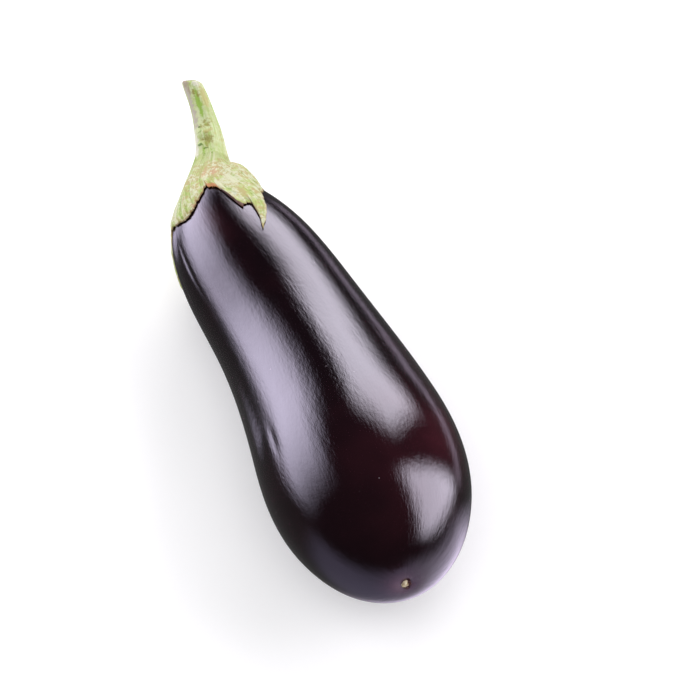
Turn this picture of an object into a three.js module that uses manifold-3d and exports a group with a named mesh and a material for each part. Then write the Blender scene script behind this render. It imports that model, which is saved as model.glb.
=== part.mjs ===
// A whole picked eggplant lying on its belly: the fruit with its cap of sepals, its cut stem and the
// corky scar of the flower. Millimetres, +Z up. The origin is the middle of the small flat on which the
// fruit rests, under its weight; the stem end points along +Y.

import * as THREE from 'three';
import { mergeVertices } from 'three/addons/utils/BufferGeometryUtils.js';
import Module from 'manifold-3d';

const wasm = await Module();
wasm.setup();

// ---------------------------------------------------------------- driving dimensions

// The fruit: a round body carried along a gently bent axis.
const BLOSSOM_END = new THREE.Vector3(4.3, -104.3, 57.1);
const BELLY_PULL = new THREE.Vector3(4.8, -26.6, 42.0);
const NECK_PULL = new THREE.Vector3(3.1, 33.0, 27.6);
const STEM_END = new THREE.Vector3(-33.0, 124.0, 40.8);
const BELLY_RADIUS = 45.1; // before the rounded ends trim it: the belly measures 86 mm across
const NECK_RADIUS = 34.1;
const TAPER_START = 35; // distances along the axis from the blossom end
const TAPER_END = 177;
const BLOSSOM_ROUNDING = 84.5; // length over which each end closes
const SHOULDER_ROUNDING = 79.5;
const ROUNDING_POWER = 2.4;
const LEAN_LENGTH = 32; // the last stretch of the neck leans towards the stem
const LEAN_SIDEWAYS = 9.1;
const LEAN_UP = 2.4;

// The blossom scar in its dimple.
const DIMPLE_DEPTH = 0.6;
const DIMPLE_RADIUS = 5;
const SCAR_RADIUS = 2.2;
const SCAR_SUNK = 1.6;
const SCAR_PROUD = 0.6;
const SCAR_DOME = 0.4;
const POCKET_TOP = 2; // the pocket's cutter ends clear above the skin
const DOME_SHARE = 0.6; // the domed face's flat middle, and its rise there, as shares
const DOME_RISE = 0.4;

// The calyx: a fleshy crown that thins out into sepals lying on the skin.
const CLEARANCE = 0.3; // between neighbouring pieces
const SEPAL_THICKNESS = 1.1;
const TIP_CURL = 0.7; // how far the cut edges stand off the skin
const CURL_START = 0.55; // the share of a sepal's reach at which it starts to curl
const BEND_START = 0.7; // and at which its sides start to bend
const BEND_POWER = 1.4;
const CROWN_THICKNESS = 1.7; // added near the stem
const CROWN_SPREAD = 18;
const SEAT_RADIUS = 8.8; // the flat on the crown that carries the stem
const SEAT_HEIGHT = 4.5;
const SEAT_SIDEWAYS = 5;
const SEAT_BLEND_START = 9;
const SEAT_BLEND_END = 21;
const SEAT_RIM_GAP = 1; // from the seat's rim to the first ring of the crown

// The cut edge of the calyx, once round the neck: the angle from which each point grows, the angle at
// which it ends (0 is the fruit's right side, 90 its top) and its reach over the skin from the stem end.
const CALYX_EDGE = [
  { grows: 2, ends: 2, reach: 36 },
  { grows: 14, ends: 14, reach: 30 },
  { grows: 26, ends: 26, reach: 32 },
  { grows: 36, ends: 38, reach: 38.5 },
  { grows: 43, ends: 44, reach: 41.8 },
  { grows: 48.5, ends: 50.5, reach: 44.2 },
  { grows: 52, ends: 52.9, reach: 44.4 },
  { grows: 55.3, ends: 55.8, reach: 46.7 },
  { grows: 57.5, ends: 58.8, reach: 49.2 },
  { grows: 60.5, ends: 63.9, reach: 54.5 },
  { grows: 63.5, ends: 70, reach: 60.5 },
  { grows: 65.4, ends: 77.5, reach: 65.4 },
  { grows: 66.4, ends: 82.6, reach: 68.9 },
  { grows: 67.4, ends: 80, reach: 65.4 },
  { grows: 68.2, ends: 77, reach: 60.3 },
  { grows: 69, ends: 75.2, reach: 55.3 },
  { grows: 71.5, ends: 72.4, reach: 49.4 },
  { grows: 75, ends: 75.5, reach: 50.6 },
  { grows: 78.5, ends: 79, reach: 50.4 },
  { grows: 81, ends: 81.4, reach: 48.2 },
  { grows: 83.6, ends: 83.8, reach: 45 },
  { grows: 84.4, ends: 84.4, reach: 39 },
  { grows: 85.2, ends: 85, reach: 34 },
  { grows: 88, ends: 87, reach: 31.2 },
  { grows: 91.5, ends: 90.5, reach: 28.8 },
  { grows: 96, ends: 96, reach: 27.3 },
  { grows: 98.2, ends: 97.6, reach: 24.9 },
  { grows: 101, ends: 101, reach: 26.7 },
  { grows: 108, ends: 108, reach: 30 },
  { grows: 114, ends: 114, reach: 32 },
  { grows: 121, ends: 121.3, reach: 34.6 },
  { grows: 129, ends: 129, reach: 36.3 },
  { grows: 137, ends: 136.5, reach: 35.6 },
  { grows: 149, ends: 149, reach: 32.6 },
  { grows: 158, ends: 158, reach: 29.7 },
  { grows: 165, ends: 165, reach: 30 },
  { grows: 170, ends: 170, reach: 28.5 },
  { grows: 176, ends: 176, reach: 26 },
  { grows: 185, ends: 185, reach: 25.5 },
  { grows: 194, ends: 194, reach: 28 },
  { grows: 200.5, ends: 203.5, reach: 40 },
  { grows: 204, ends: 204.8, reach: 47 },
  { grows: 207.5, ends: 205.5, reach: 52.5 },
  { grows: 211, ends: 210, reach: 48 },
  { grows: 216, ends: 216.5, reach: 43 },
  { grows: 225, ends: 226, reach: 36 },
  { grows: 238, ends: 238, reach: 29 },
  { grows: 250, ends: 248, reach: 41 },
  { grows: 262, ends: 258, reach: 50 },
  { grows: 272, ends: 271, reach: 39 },
  { grows: 284, ends: 284, reach: 30 },
  { grows: 297, ends: 299, reach: 39 },
  { grows: 308, ends: 312, reach: 45 },
  { grows: 320, ends: 321, reach: 37 },
  { grows: 331, ends: 331, reach: 30 },
  { grows: 341, ends: 340, reach: 38 },
  { grows: 350, ends: 348, reach: 44 },
];

// The raised midrib of each sepal.
const MIDRIBS = [
  { angle: 60, height: 0.7 },
  { angle: 128, height: 4.4 },
  { angle: 208, height: 1.4 },
  { angle: 262, height: 1.6 },
  { angle: 308, height: 1.5 },
  { angle: 350, height: 1.5 },
];
const MIDRIB_HALF_ANGLE = 16;
const MIDRIB_REACH = 20;

// Where the crown arches clear of the skin, at the fruit's right.
const SHOULDER = { angle: 34, height: 2.9, distance: 23, length: 9.5, halfAngle: 20 };

// The stem: its middle line, and its radius at even steps from the foot to the cut.
const STEM_MIDDLE = new THREE.Vector3(-19.2, 145, 46);
const STEM_BEND = new THREE.Vector3(-18.9, 156, 52);
const STEM_CUT = new THREE.Vector3(-22.0, 170.6, 59.9);
const STEM_RADII = [8.5, 7.6, 6.8, 6.2, 5.4, 4.8, 4.4, 4.2, 3.9];
const STEM_RIDGES = 5;
const STEM_RIDGE_DEPTH = 0.07;
const STEM_CUT_SLOPE = 0.35; // the cut runs down towards the stem's right
const STEM_SLOPE_START = 0.7; // over the last stretch, as a share of its length
const KNOB = { place: 0.36, angle: 105, height: 1.3, length: 0.07, halfAngle: 26 };

// How finely the curved faces are divided.
const FRUIT_RINGS = 36;
const FRUIT_SIDES = 48;
const END_CROWDING = 0.1; // rings stand closer at the two round ends
const CALYX_STEP = 5.5; // degrees
const CALYX_RINGS = 12;
const STEM_RINGS = 17;
const STEM_SIDES = 30;
const SCAR_SIDES = 16;
const OUTLINE_DIVISIONS = 800;
const DISTANCE_STEP = 0.2; // mm and radians over which the skin's slope is taken
const ANGLE_STEP = 0.01;

const UP = new THREE.Vector3(0, 0, 1);
const TABLE_SIZE = 400; // the block below the origin that cuts the resting flat

const FINISHES = {
  skin: { color: 0x2a1020, roughness: 0.12, metalness: 0 },
  calyx: { color: 0xa9b57a, roughness: 0.6, metalness: 0 },
  stem: { color: 0xb7c08c, roughness: 0.65, metalness: 0 },
  cork: { color: 0x8c6a48, roughness: 0.85, metalness: 0 },
};

// ---------------------------------------------------------------- the form of the fruit

const axis = new THREE.CubicBezierCurve3(BLOSSOM_END, BELLY_PULL, NECK_PULL, STEM_END);
const axisLength = axis.getLength();

function radiusAt(along) {
  const taper = THREE.MathUtils.smoothstep(along, TAPER_START, TAPER_END);
  const body = THREE.MathUtils.lerp(BELLY_RADIUS, NECK_RADIUS, taper);
  const blossom = Math.max(0, 1 - along / BLOSSOM_ROUNDING);
  const shoulder = Math.max(0, 1 - (axisLength - along) / SHOULDER_ROUNDING);
  return body * Math.sqrt((1 - blossom ** ROUNDING_POWER) * (1 - shoulder ** ROUNDING_POWER));
}

// The fruit's outline in its own plane, from the stem end (0) to the blossom end (1).
class Meridian extends THREE.Curve {
  getPoint(t) {
    const along = axisLength * (0.5 + 0.5 * Math.cos(Math.PI * t));
    return new THREE.Vector2(along, radiusAt(along));
  }
}
const meridian = new Meridian();
meridian.arcLengthDivisions = OUTLINE_DIVISIONS;
const meridianLength = meridian.getLength();

// The middle of a cross-section and the two directions that span it.
function sectionAt(along) {
  const share = THREE.MathUtils.clamp(along / axisLength, 0, 1);
  const centre = axis.getPointAt(share);
  const tangent = axis.getTangentAt(share);
  const side = tangent.clone().cross(UP).normalize();
  const over = side.clone().cross(tangent);
  const lean = Math.max(0, 1 - (axisLength - along) / LEAN_LENGTH) ** 3;
  centre.addScaledVector(side, LEAN_SIDEWAYS * lean).addScaledVector(over, LEAN_UP * lean);
  return { centre, tangent, side, over };
}

// A point of the skin: its distance over the skin from the stem end, and its angle round the fruit.
function skinPoint(distance, angle) {
  const share = THREE.MathUtils.clamp(distance / meridianLength, 0, 1);
  const outline = meridian.getPointAt(share);
  const { centre, side, over } = sectionAt(outline.x);
  return centre
    .addScaledVector(side, outline.y * Math.cos(angle))
    .addScaledVector(over, outline.y * Math.sin(angle));
}

function skinNormal(distance, angle) {
  const offPole = 2 * DISTANCE_STEP;
  const inside = THREE.MathUtils.clamp(distance, offPole, meridianLength - offPole);
  const ahead = skinPoint(inside + DISTANCE_STEP, angle);
  const down = ahead.sub(skinPoint(inside - DISTANCE_STEP, angle));
  const round = skinPoint(inside, angle + ANGLE_STEP).sub(skinPoint(inside, angle - ANGLE_STEP));
  return round.cross(down).normalize();
}

function liftedPoint(distance, angle, lift) {
  return skinPoint(distance, angle).addScaledVector(skinNormal(distance, angle), lift);
}

// ---------------------------------------------------------------- solids from rings of points

function enclosedVolume(points, faces) {
  let volume = 0;
  for (const [a, b, c] of faces) {
    volume += points[a].dot(points[b].clone().cross(points[c])) / 6;
  }
  return volume;
}

// A closed body: a pole, rings of equally many points, and another pole. Its faces point outwards.
function solidFromRings(firstPole, rings, lastPole) {
  const sides = rings[0].length;
  const points = [firstPole, ...rings.flat(), lastPole];
  const last = points.length - 1;
  const faces = [];
  for (let i = 0; i < sides; i += 1) {
    const j = (i + 1) % sides;
    faces.push([0, 1 + i, 1 + j]);
    faces.push([last, last - sides + j, last - sides + i]);
    for (let ring = 0; ring < rings.length - 1; ring += 1) {
      const a = 1 + ring * sides;
      const b = a + sides;
      faces.push([a + i, b + i, b + j], [a + i, b + j, a + j]);
    }
  }
  if (enclosedVolume(points, faces) < 0) {
    faces.forEach((face) => face.reverse());
  }
  const geometry = new THREE.BufferGeometry().setFromPoints(points);
  geometry.setIndex(faces.flat());
  return geometry;
}

// Shared corners are merged, so that the mesh is one closed body for joining and cutting.
function toSolid(geometry) {
  geometry.deleteAttribute('normal');
  geometry.deleteAttribute('uv');
  const merged = mergeVertices(geometry);
  return new wasm.Manifold(new wasm.Mesh({
    numProp: 3,
    vertProperties: new Float32Array(merged.attributes.position.array),
    triVerts: new Uint32Array(merged.index.array),
  }));
}

function toGeometry(solid) {
  const mesh = solid.getMesh();
  const geometry = new THREE.BufferGeometry();
  geometry.setAttribute('position', new THREE.BufferAttribute(mesh.vertProperties, mesh.numProp));
  geometry.setIndex(new THREE.BufferAttribute(mesh.triVerts, 1));
  return geometry;
}

// A flat ring of points round a centre, starting along the first direction.
function roundRing(centre, first, second, sides, radiusOf) {
  return Array.from({ length: sides }, (_, i) => {
    const angle = (2 * Math.PI * i) / sides;
    return centre.clone()
      .addScaledVector(first, radiusOf(angle) * Math.cos(angle))
      .addScaledVector(second, radiusOf(angle) * Math.sin(angle));
  });
}

// ---------------------------------------------------------------- fruit and blossom scar

const blossom = sectionAt(0);
const blossomOut = blossom.tangent.clone().negate();

// A round plug on the axis at the blossom end, between two heights, with a domed outer face.
function blossomPlug(radius, from, to, dome) {
  const at = (height) => blossom.centre.clone().addScaledVector(blossomOut, height);
  const ring = (height, size) => (
    roundRing(at(height), blossom.side, blossom.over, SCAR_SIDES, () => size)
  );
  const rings = [ring(from, radius), ring(to - dome, radius), ring(to, radius * DOME_SHARE)];
  return solidFromRings(at(from), rings, at(to + dome * DOME_RISE));
}

function dimpleDepth(distanceToBlossom) {
  return DIMPLE_DEPTH * Math.exp(-((distanceToBlossom / DIMPLE_RADIUS) ** 2));
}

function fruitGeometry() {
  const rings = [];
  for (let i = 1; i < FRUIT_RINGS; i += 1) {
    const even = i / FRUIT_RINGS;
    const distance = meridianLength * (even - END_CROWDING * Math.sin(2 * Math.PI * even));
    const lift = -dimpleDepth(meridianLength - distance);
    rings.push(Array.from({ length: FRUIT_SIDES }, (_, side) => (
      liftedPoint(distance, (2 * Math.PI * side) / FRUIT_SIDES, lift)
    )));
  }
  const blossomPole = blossom.centre.clone().addScaledVector(blossomOut, -DIMPLE_DEPTH);
  const body = toSolid(solidFromRings(skinPoint(0, 0), rings, blossomPole));
  const pocket = toSolid(blossomPlug(SCAR_RADIUS + CLEARANCE, -SCAR_SUNK - CLEARANCE, POCKET_TOP, 0));
  const table = new THREE.BoxGeometry(TABLE_SIZE, TABLE_SIZE, TABLE_SIZE);
  table.translate(0, 0, -TABLE_SIZE / 2);
  return toGeometry(body.subtract(pocket).subtract(toSolid(table)));
}

// ---------------------------------------------------------------- stem

const stemFoot = sectionAt(axisLength);
const seatCentre = stemFoot.centre.clone()
  .addScaledVector(stemFoot.tangent, SEAT_HEIGHT)
  .addScaledVector(stemFoot.side, SEAT_SIDEWAYS);
const stemAxis = new THREE.CubicBezierCurve3(seatCentre, STEM_MIDDLE, STEM_BEND, STEM_CUT);

// The stem's cross-section directions; at its foot they also span the seat on the calyx.
function stemSectionAt(share) {
  const centre = stemAxis.getPointAt(share);
  const tangent = stemAxis.getTangentAt(share);
  const side = tangent.clone().cross(UP).normalize();
  const over = side.clone().cross(tangent);
  return { centre, tangent, side, over };
}

function stemRadius(share, angle) {
  const steps = STEM_RADII.length - 1;
  const step = Math.min(Math.floor(share * steps), steps - 1);
  const radius = THREE.MathUtils.lerp(STEM_RADII[step], STEM_RADII[step + 1], share * steps - step);
  const ridges = 1 + STEM_RIDGE_DEPTH * Math.cos(STEM_RIDGES * angle);
  const alongKnob = (share - KNOB.place) / KNOB.length;
  const roundKnob = (THREE.MathUtils.radToDeg(angle) - KNOB.angle) / KNOB.halfAngle;
  return radius * ridges + KNOB.height * Math.exp(-(alongKnob ** 2) - roundKnob ** 2);
}

function stemGeometry() {
  const rings = [];
  for (let i = 0; i <= STEM_RINGS; i += 1) {
    const share = i / STEM_RINGS;
    const { centre, tangent, side, over } = stemSectionAt(share);
    centre.addScaledVector(tangent, CLEARANCE * (1 - share));
    const ring = roundRing(centre, side, over, STEM_SIDES, (angle) => stemRadius(share, angle));
    const slope = STEM_CUT_SLOPE * THREE.MathUtils.smoothstep(share, STEM_SLOPE_START, 1);
    ring.forEach((point) => {
      const sideways = point.clone().sub(centre).dot(side);
      point.addScaledVector(tangent, -slope * sideways);
    });
    rings.push(ring);
  }
  const foot = seatCentre.clone().addScaledVector(stemSectionAt(0).tangent, CLEARANCE);
  return solidFromRings(foot, rings, STEM_CUT.clone());
}

// ---------------------------------------------------------------- calyx

// The edge points, with more put in between so that no step round the neck is wide.
function calyxColumns() {
  return CALYX_EDGE.flatMap((from, i) => {
    const next = CALYX_EDGE[(i + 1) % CALYX_EDGE.length];
    const turn = i + 1 === CALYX_EDGE.length ? 360 : 0;
    const parts = Math.ceil((next.grows + turn - from.grows) / CALYX_STEP);
    return Array.from({ length: parts }, (_, part) => {
      const share = part / parts;
      return {
        grows: THREE.MathUtils.lerp(from.grows, next.grows + turn, share),
        ends: THREE.MathUtils.lerp(from.ends, next.ends + turn, share),
        reach: THREE.MathUtils.lerp(from.reach, next.reach, share),
      };
    });
  });
}

function angleApart(a, b) {
  return Math.abs(THREE.MathUtils.euclideanModulo(a - b + 180, 360) - 180);
}

// How far the outer face stands off the skin.
function calyxLift(distance, grows, share) {
  const crown = CROWN_THICKNESS * Math.exp(-((distance / CROWN_SPREAD) ** 2));
  const alongRib = Math.exp(-((distance / MIDRIB_REACH) ** 2));
  const ribs = MIDRIBS.reduce((sum, rib) => (
    sum + rib.height * Math.exp(-((angleApart(grows, rib.angle) / MIDRIB_HALF_ANGLE) ** 2))
  ), 0);
  const overShoulder = Math.exp(-(((distance - SHOULDER.distance) / SHOULDER.length) ** 2));
  const roundShoulder = Math.exp(-((angleApart(grows, SHOULDER.angle) / SHOULDER.halfAngle) ** 2));
  const shoulder = SHOULDER.height * overShoulder * roundShoulder;
  return sheetLift(share) + SEPAL_THICKNESS + crown + ribs * alongRib + shoulder;
}

// How far the inner face stands off the skin: close by the stem, curling away at the cut edge.
function sheetLift(share) {
  return CLEARANCE + TIP_CURL * THREE.MathUtils.smoothstep(share, CURL_START, 1);
}

function calyxPoint(column, share, liftOf) {
  const distance = column.reach * share;
  const bend = Math.max(0, (share - BEND_START) / (1 - BEND_START)) ** BEND_POWER;
  const angle = THREE.MathUtils.degToRad(THREE.MathUtils.lerp(column.grows, column.ends, bend));
  return liftedPoint(distance, angle, liftOf(distance));
}

function calyxGeometry() {
  const columns = calyxColumns();
  const seat = stemSectionAt(0);
  const seatPoint = ({ grows }) => {
    const angle = THREE.MathUtils.degToRad(grows);
    return seatCentre.clone()
      .addScaledVector(seat.side, SEAT_RADIUS * Math.cos(angle))
      .addScaledVector(seat.over, SEAT_RADIUS * Math.sin(angle));
  };
  const outer = (column, share) => {
    const lifted = calyxPoint(column, share, (distance) => calyxLift(distance, column.grows, share));
    const away = THREE.MathUtils.smoothstep(column.reach * share, SEAT_BLEND_START, SEAT_BLEND_END);
    return seatPoint(column).lerp(lifted, away);
  };
  const inner = (column, share) => calyxPoint(column, share, () => sheetLift(share));
  const rings = [columns.map(seatPoint)];
  for (let i = 1; i <= CALYX_RINGS; i += 1) {
    rings.push(columns.map((column) => {
      const start = (SEAT_BLEND_START + SEAT_RIM_GAP) / column.reach;
      return outer(column, THREE.MathUtils.lerp(start, 1, i / CALYX_RINGS));
    }));
  }
  for (let i = CALYX_RINGS; i >= 1; i -= 1) {
    rings.push(columns.map((column) => inner(column, i / CALYX_RINGS)));
  }
  const underPole = liftedPoint(0, 0, CLEARANCE);
  return solidFromRings(seatCentre.clone(), rings, underPole);
}

// ---------------------------------------------------------------- the eggplant

function piece(name, geometry, finish) {
  geometry.computeVertexNormals();
  const mesh = new THREE.Mesh(geometry, new THREE.MeshStandardMaterial(finish));
  mesh.name = name;
  return mesh;
}

const scar = blossomPlug(SCAR_RADIUS, -SCAR_SUNK, SCAR_PROUD, SCAR_DOME);

const eggplant = new THREE.Group();
eggplant.add(
  piece('fruit', fruitGeometry(), FINISHES.skin),
  piece('calyx', calyxGeometry(), FINISHES.calyx),
  piece('stem', stemGeometry(), FINISHES.stem),
  piece('blossom_scar', scar, FINISHES.cork),
);

export default eggplant;
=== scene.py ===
"""The looks of a whole picked eggplant: glossy skin, leathery calyx, cut stem and corky blossom scar.

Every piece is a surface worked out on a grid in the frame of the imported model. Lengths in the classes
are in millimetres and angles in degrees, unless a name says otherwise; meshes are written in metres.
"""

import logging
import math
from dataclasses import dataclass
from enum import Enum
from functools import cached_property

import bpy
import numpy as np
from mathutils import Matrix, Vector


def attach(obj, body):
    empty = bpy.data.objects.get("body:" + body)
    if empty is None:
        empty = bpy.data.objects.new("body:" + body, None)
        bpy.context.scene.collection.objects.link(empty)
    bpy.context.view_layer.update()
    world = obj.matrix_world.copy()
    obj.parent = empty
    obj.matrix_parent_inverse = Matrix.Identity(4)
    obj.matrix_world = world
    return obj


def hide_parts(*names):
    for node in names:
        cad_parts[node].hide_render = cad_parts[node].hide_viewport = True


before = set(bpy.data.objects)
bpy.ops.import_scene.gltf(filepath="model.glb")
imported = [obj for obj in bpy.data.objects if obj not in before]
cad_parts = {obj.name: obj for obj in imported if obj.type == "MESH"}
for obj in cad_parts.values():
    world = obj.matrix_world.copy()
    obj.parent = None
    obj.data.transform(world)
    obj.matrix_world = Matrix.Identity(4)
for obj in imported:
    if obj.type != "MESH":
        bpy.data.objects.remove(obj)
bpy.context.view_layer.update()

Array = np.ndarray
Colour = tuple[float, float, float]
Point = tuple[float, float, float]
Socket = bpy.types.NodeSocket
Value = float | Colour | Socket

MM = 0.001
BODY = "root"

log = logging.getLogger("eggplant")


class Slot(Enum):
    """The record's material slots."""

    SKIN = "skin"
    CALYX = "calyx"
    STEM = "stem"
    CORK = "cork"


# ------------------------------------------------------------------------------ numbers on grids


def smoothstep(values: Array, start: float | Array, end: float | Array) -> Array:
    """The S-shaped step 3x^2 - 2x^3 from 0 at start to 1 at end."""
    x = np.clip((np.asarray(values, float) - start) / (end - start), 0.0, 1.0)
    return x * x * (3.0 - 2.0 * x)


def bell(values: Array, width: float) -> Array:
    """The bell exp(-(x / width)^2)."""
    return np.exp(-((np.asarray(values, float) / width) ** 2))


def unit(vectors: Array) -> Array:
    """The same directions with length 1."""
    return vectors / np.linalg.norm(vectors, axis=-1, keepdims=True)


def turn_apart(angles: Array, angle: float | Array) -> Array:
    """How many degrees lie between each angle and the given one, the short way round."""
    return np.abs((np.asarray(angles, float) - angle + 180.0) % 360.0 - 180.0)


def facing(angles: Array, side: float) -> Array:
    """How much angles in radians face a side in degrees: 1 on it, 0 opposite, a cosine between."""
    return 0.5 + 0.5 * np.cos(angles - math.radians(side))


def rolled(radius: float, angle: Array, along: Array) -> Array:
    """Coordinates in metres on a straight round bar of that radius, for patterns that run along it."""
    return MM * np.stack([radius * np.cos(angle), radius * np.sin(angle), along], axis=-1)


def bezier(corners: Array, t: Array) -> Array:
    """Points of a cubic Bezier curve: the four corners weighted by the Bernstein polynomials of t.

    Args:
        corners: the four corners.
        t: parameters from 0 to 1.

    Returns:
        A point for each parameter.
    """
    t = np.asarray(t, float)[..., None]
    first, second, third, last = corners
    return (
        (1 - t) ** 3 * first
        + 3 * t * (1 - t) ** 2 * second
        + 3 * t**2 * (1 - t) * third
        + t**3 * last
    )


def bezier_slope(corners: Array, t: Array) -> Array:
    """The derivative of the cubic Bezier curve by t.

    Args:
        corners: the four corners.
        t: parameters from 0 to 1.

    Returns:
        A vector for each parameter.
    """
    t = np.asarray(t, float)[..., None]
    legs = np.diff(corners, axis=0)
    return 3 * ((1 - t) ** 2 * legs[0] + 2 * t * (1 - t) * legs[1] + t**2 * legs[2])


@dataclass(frozen=True)
class Waves:
    """Smooth seamless unevenness: a sum of cosines of (whole turns x angle + along / pitch + phase).

    Fields:
        seed: fixes the random turns, pitches and phases.
        count: how many cosines are added.
        turns: the most waves round the piece.
        pitch: the shortest wave along it, as a length over one radian.
        middle: what the heights are added to.
        spread: what they are multiplied by first.
        most: where they are cut off for the depths.
    """

    seed: int
    count: int
    turns: int
    pitch: float = 1.0
    middle: float = 0.5
    spread: float = 0.25
    most: float = 2.0

    def heights(self, round_angle: Array, along: Array) -> Array:
        """Works the waves out.

        Args:
            round_angle: angles round the piece, in radians.
            along: distances along the piece.

        Returns:
            Heights with a spread of about 1.
        """
        random = np.random.default_rng(self.seed)
        total = np.zeros(np.broadcast(round_angle, along).shape)
        for _ in range(self.count):
            whole = random.integers(-self.turns, self.turns + 1)
            rate = random.uniform(-1.0, 1.0) / self.pitch
            phase = random.uniform(0.0, 2.0 * math.pi)
            total += np.cos(whole * round_angle + rate * along + phase)
        return total / math.sqrt(self.count / 2.0)

    def uneven(self, round_angle: Array, along: Array) -> Array:
        """The middle plus the spread times the heights."""
        return self.middle + self.spread * self.heights(round_angle, along)

    def depths(self, round_angle: Array, along: Array) -> Array:
        """The middle plus the spread times the heights, with the heights cut off at the most."""
        heights = np.clip(self.heights(round_angle, along), -self.most, self.most)
        return self.middle + self.spread * heights


# ------------------------------------------------------------------------------------- meshes


@dataclass
class Skin:
    """A closed surface given as rows of points between two poles, with values for its material.

    Fields:
        rows: points in millimetres, shaped (rows, columns, 3); each row closes on itself.
        first_pole: the point that closes the first row.
        last_pole: the point that closes the last row.
        values: name to an array of one value, or three, for every point of the rows.
    """

    rows: Array
    first_pole: Array
    last_pole: Array
    values: dict[str, Array]

    def faces(self) -> list[list[int]]:
        """Quads between neighbouring rows, and fans of triangles to the two poles.

        Returns:
            The point numbers of each face.
        """
        count, columns = self.rows.shape[:2]
        index = np.arange(count * columns).reshape(count, columns)
        following = np.roll(index, -1, axis=1)
        quads = np.stack([index[:-1], index[1:], following[1:], following[:-1]], axis=-1)
        first = count * columns
        fan = np.stack([np.full(columns, first), index[0], following[0]], axis=-1)
        end_fan = np.stack([np.full(columns, first + 1), following[-1], index[-1]], axis=-1)
        return quads.reshape(-1, 4).tolist() + fan.tolist() + end_fan.tolist()

    def points(self) -> Array:
        """All the points in metres, with the poles last."""
        return MM * np.concatenate([self.rows.reshape(-1, 3), [self.first_pole], [self.last_pole]])

    def volume(self, points: Array, faces: list[list[int]]) -> float:
        """The signed volume: the sum of the tetrahedra from the origin to each triangle.

        Args:
            points: all the points.
            faces: the point numbers of each face.

        Returns:
            The volume, positive if the faces point out.
        """
        corners = [(f[0], f[i], f[i + 1]) for f in faces for i in range(1, len(f) - 1)]
        a, b, c = (points[list(ends)] for ends in zip(*corners))
        return float(np.einsum("ij,ij->", a, np.cross(b, c)) / 6.0)

    def build(self, name: str, material: bpy.types.Material) -> bpy.types.Object:
        """Makes the mesh object, smooth, with its faces pointing out.

        Args:
            name: the object's name.
            material: its only material.

        Returns:
            The new object, at the origin.
        """
        points = self.points()
        faces = self.faces()
        if self.volume(points, faces) < 0.0:
            faces = [face[::-1] for face in faces]
        mesh = bpy.data.meshes.new(name)
        mesh.from_pydata(points.tolist(), [], faces)
        mesh.polygons.foreach_set("use_smooth", [True] * len(mesh.polygons))
        for key, values in self.values.items():
            self.store(mesh, key, values)
        mesh.materials.append(material)
        mesh.update()
        piece = bpy.data.objects.new(name, mesh)
        bpy.context.scene.collection.objects.link(piece)
        return piece

    def store(self, mesh: bpy.types.Mesh, key: str, values: Array) -> None:
        """Writes one attribute; the poles take the mean of the row next to them.

        Args:
            mesh: the mesh that carries it.
            key: the attribute's name.
            values: shaped (rows, columns) for a number or (rows, columns, 3) for a vector.
        """
        vector = values.ndim == 3
        flat = values.reshape(-1, 3) if vector else values.reshape(-1)
        ends = np.stack([values[0].mean(axis=0), values[-1].mean(axis=0)])
        data = np.concatenate([flat, ends]).astype(np.float32)
        attribute = mesh.attributes.new(key, "FLOAT_VECTOR" if vector else "FLOAT", "POINT")
        attribute.data.foreach_set("vector" if vector else "value", data.ravel())


# ----------------------------------------------------------------------------------- materials


@dataclass(frozen=True)
class Pattern:
    """A cloudy pattern.

    Fields:
        scale: waves for one metre.
        detail: how many finer layers are added.
        rough: how strong the finer layers are.
        stretch: what the coordinates are multiplied by first.
    """

    scale: float
    detail: float = 3.0
    rough: float = 0.5
    stretch: Point | None = None


@dataclass(frozen=True)
class Band:
    """A smooth step, from low at start to high at end."""

    start: float
    end: float
    low: float = 0.0
    high: float = 1.0


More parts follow.
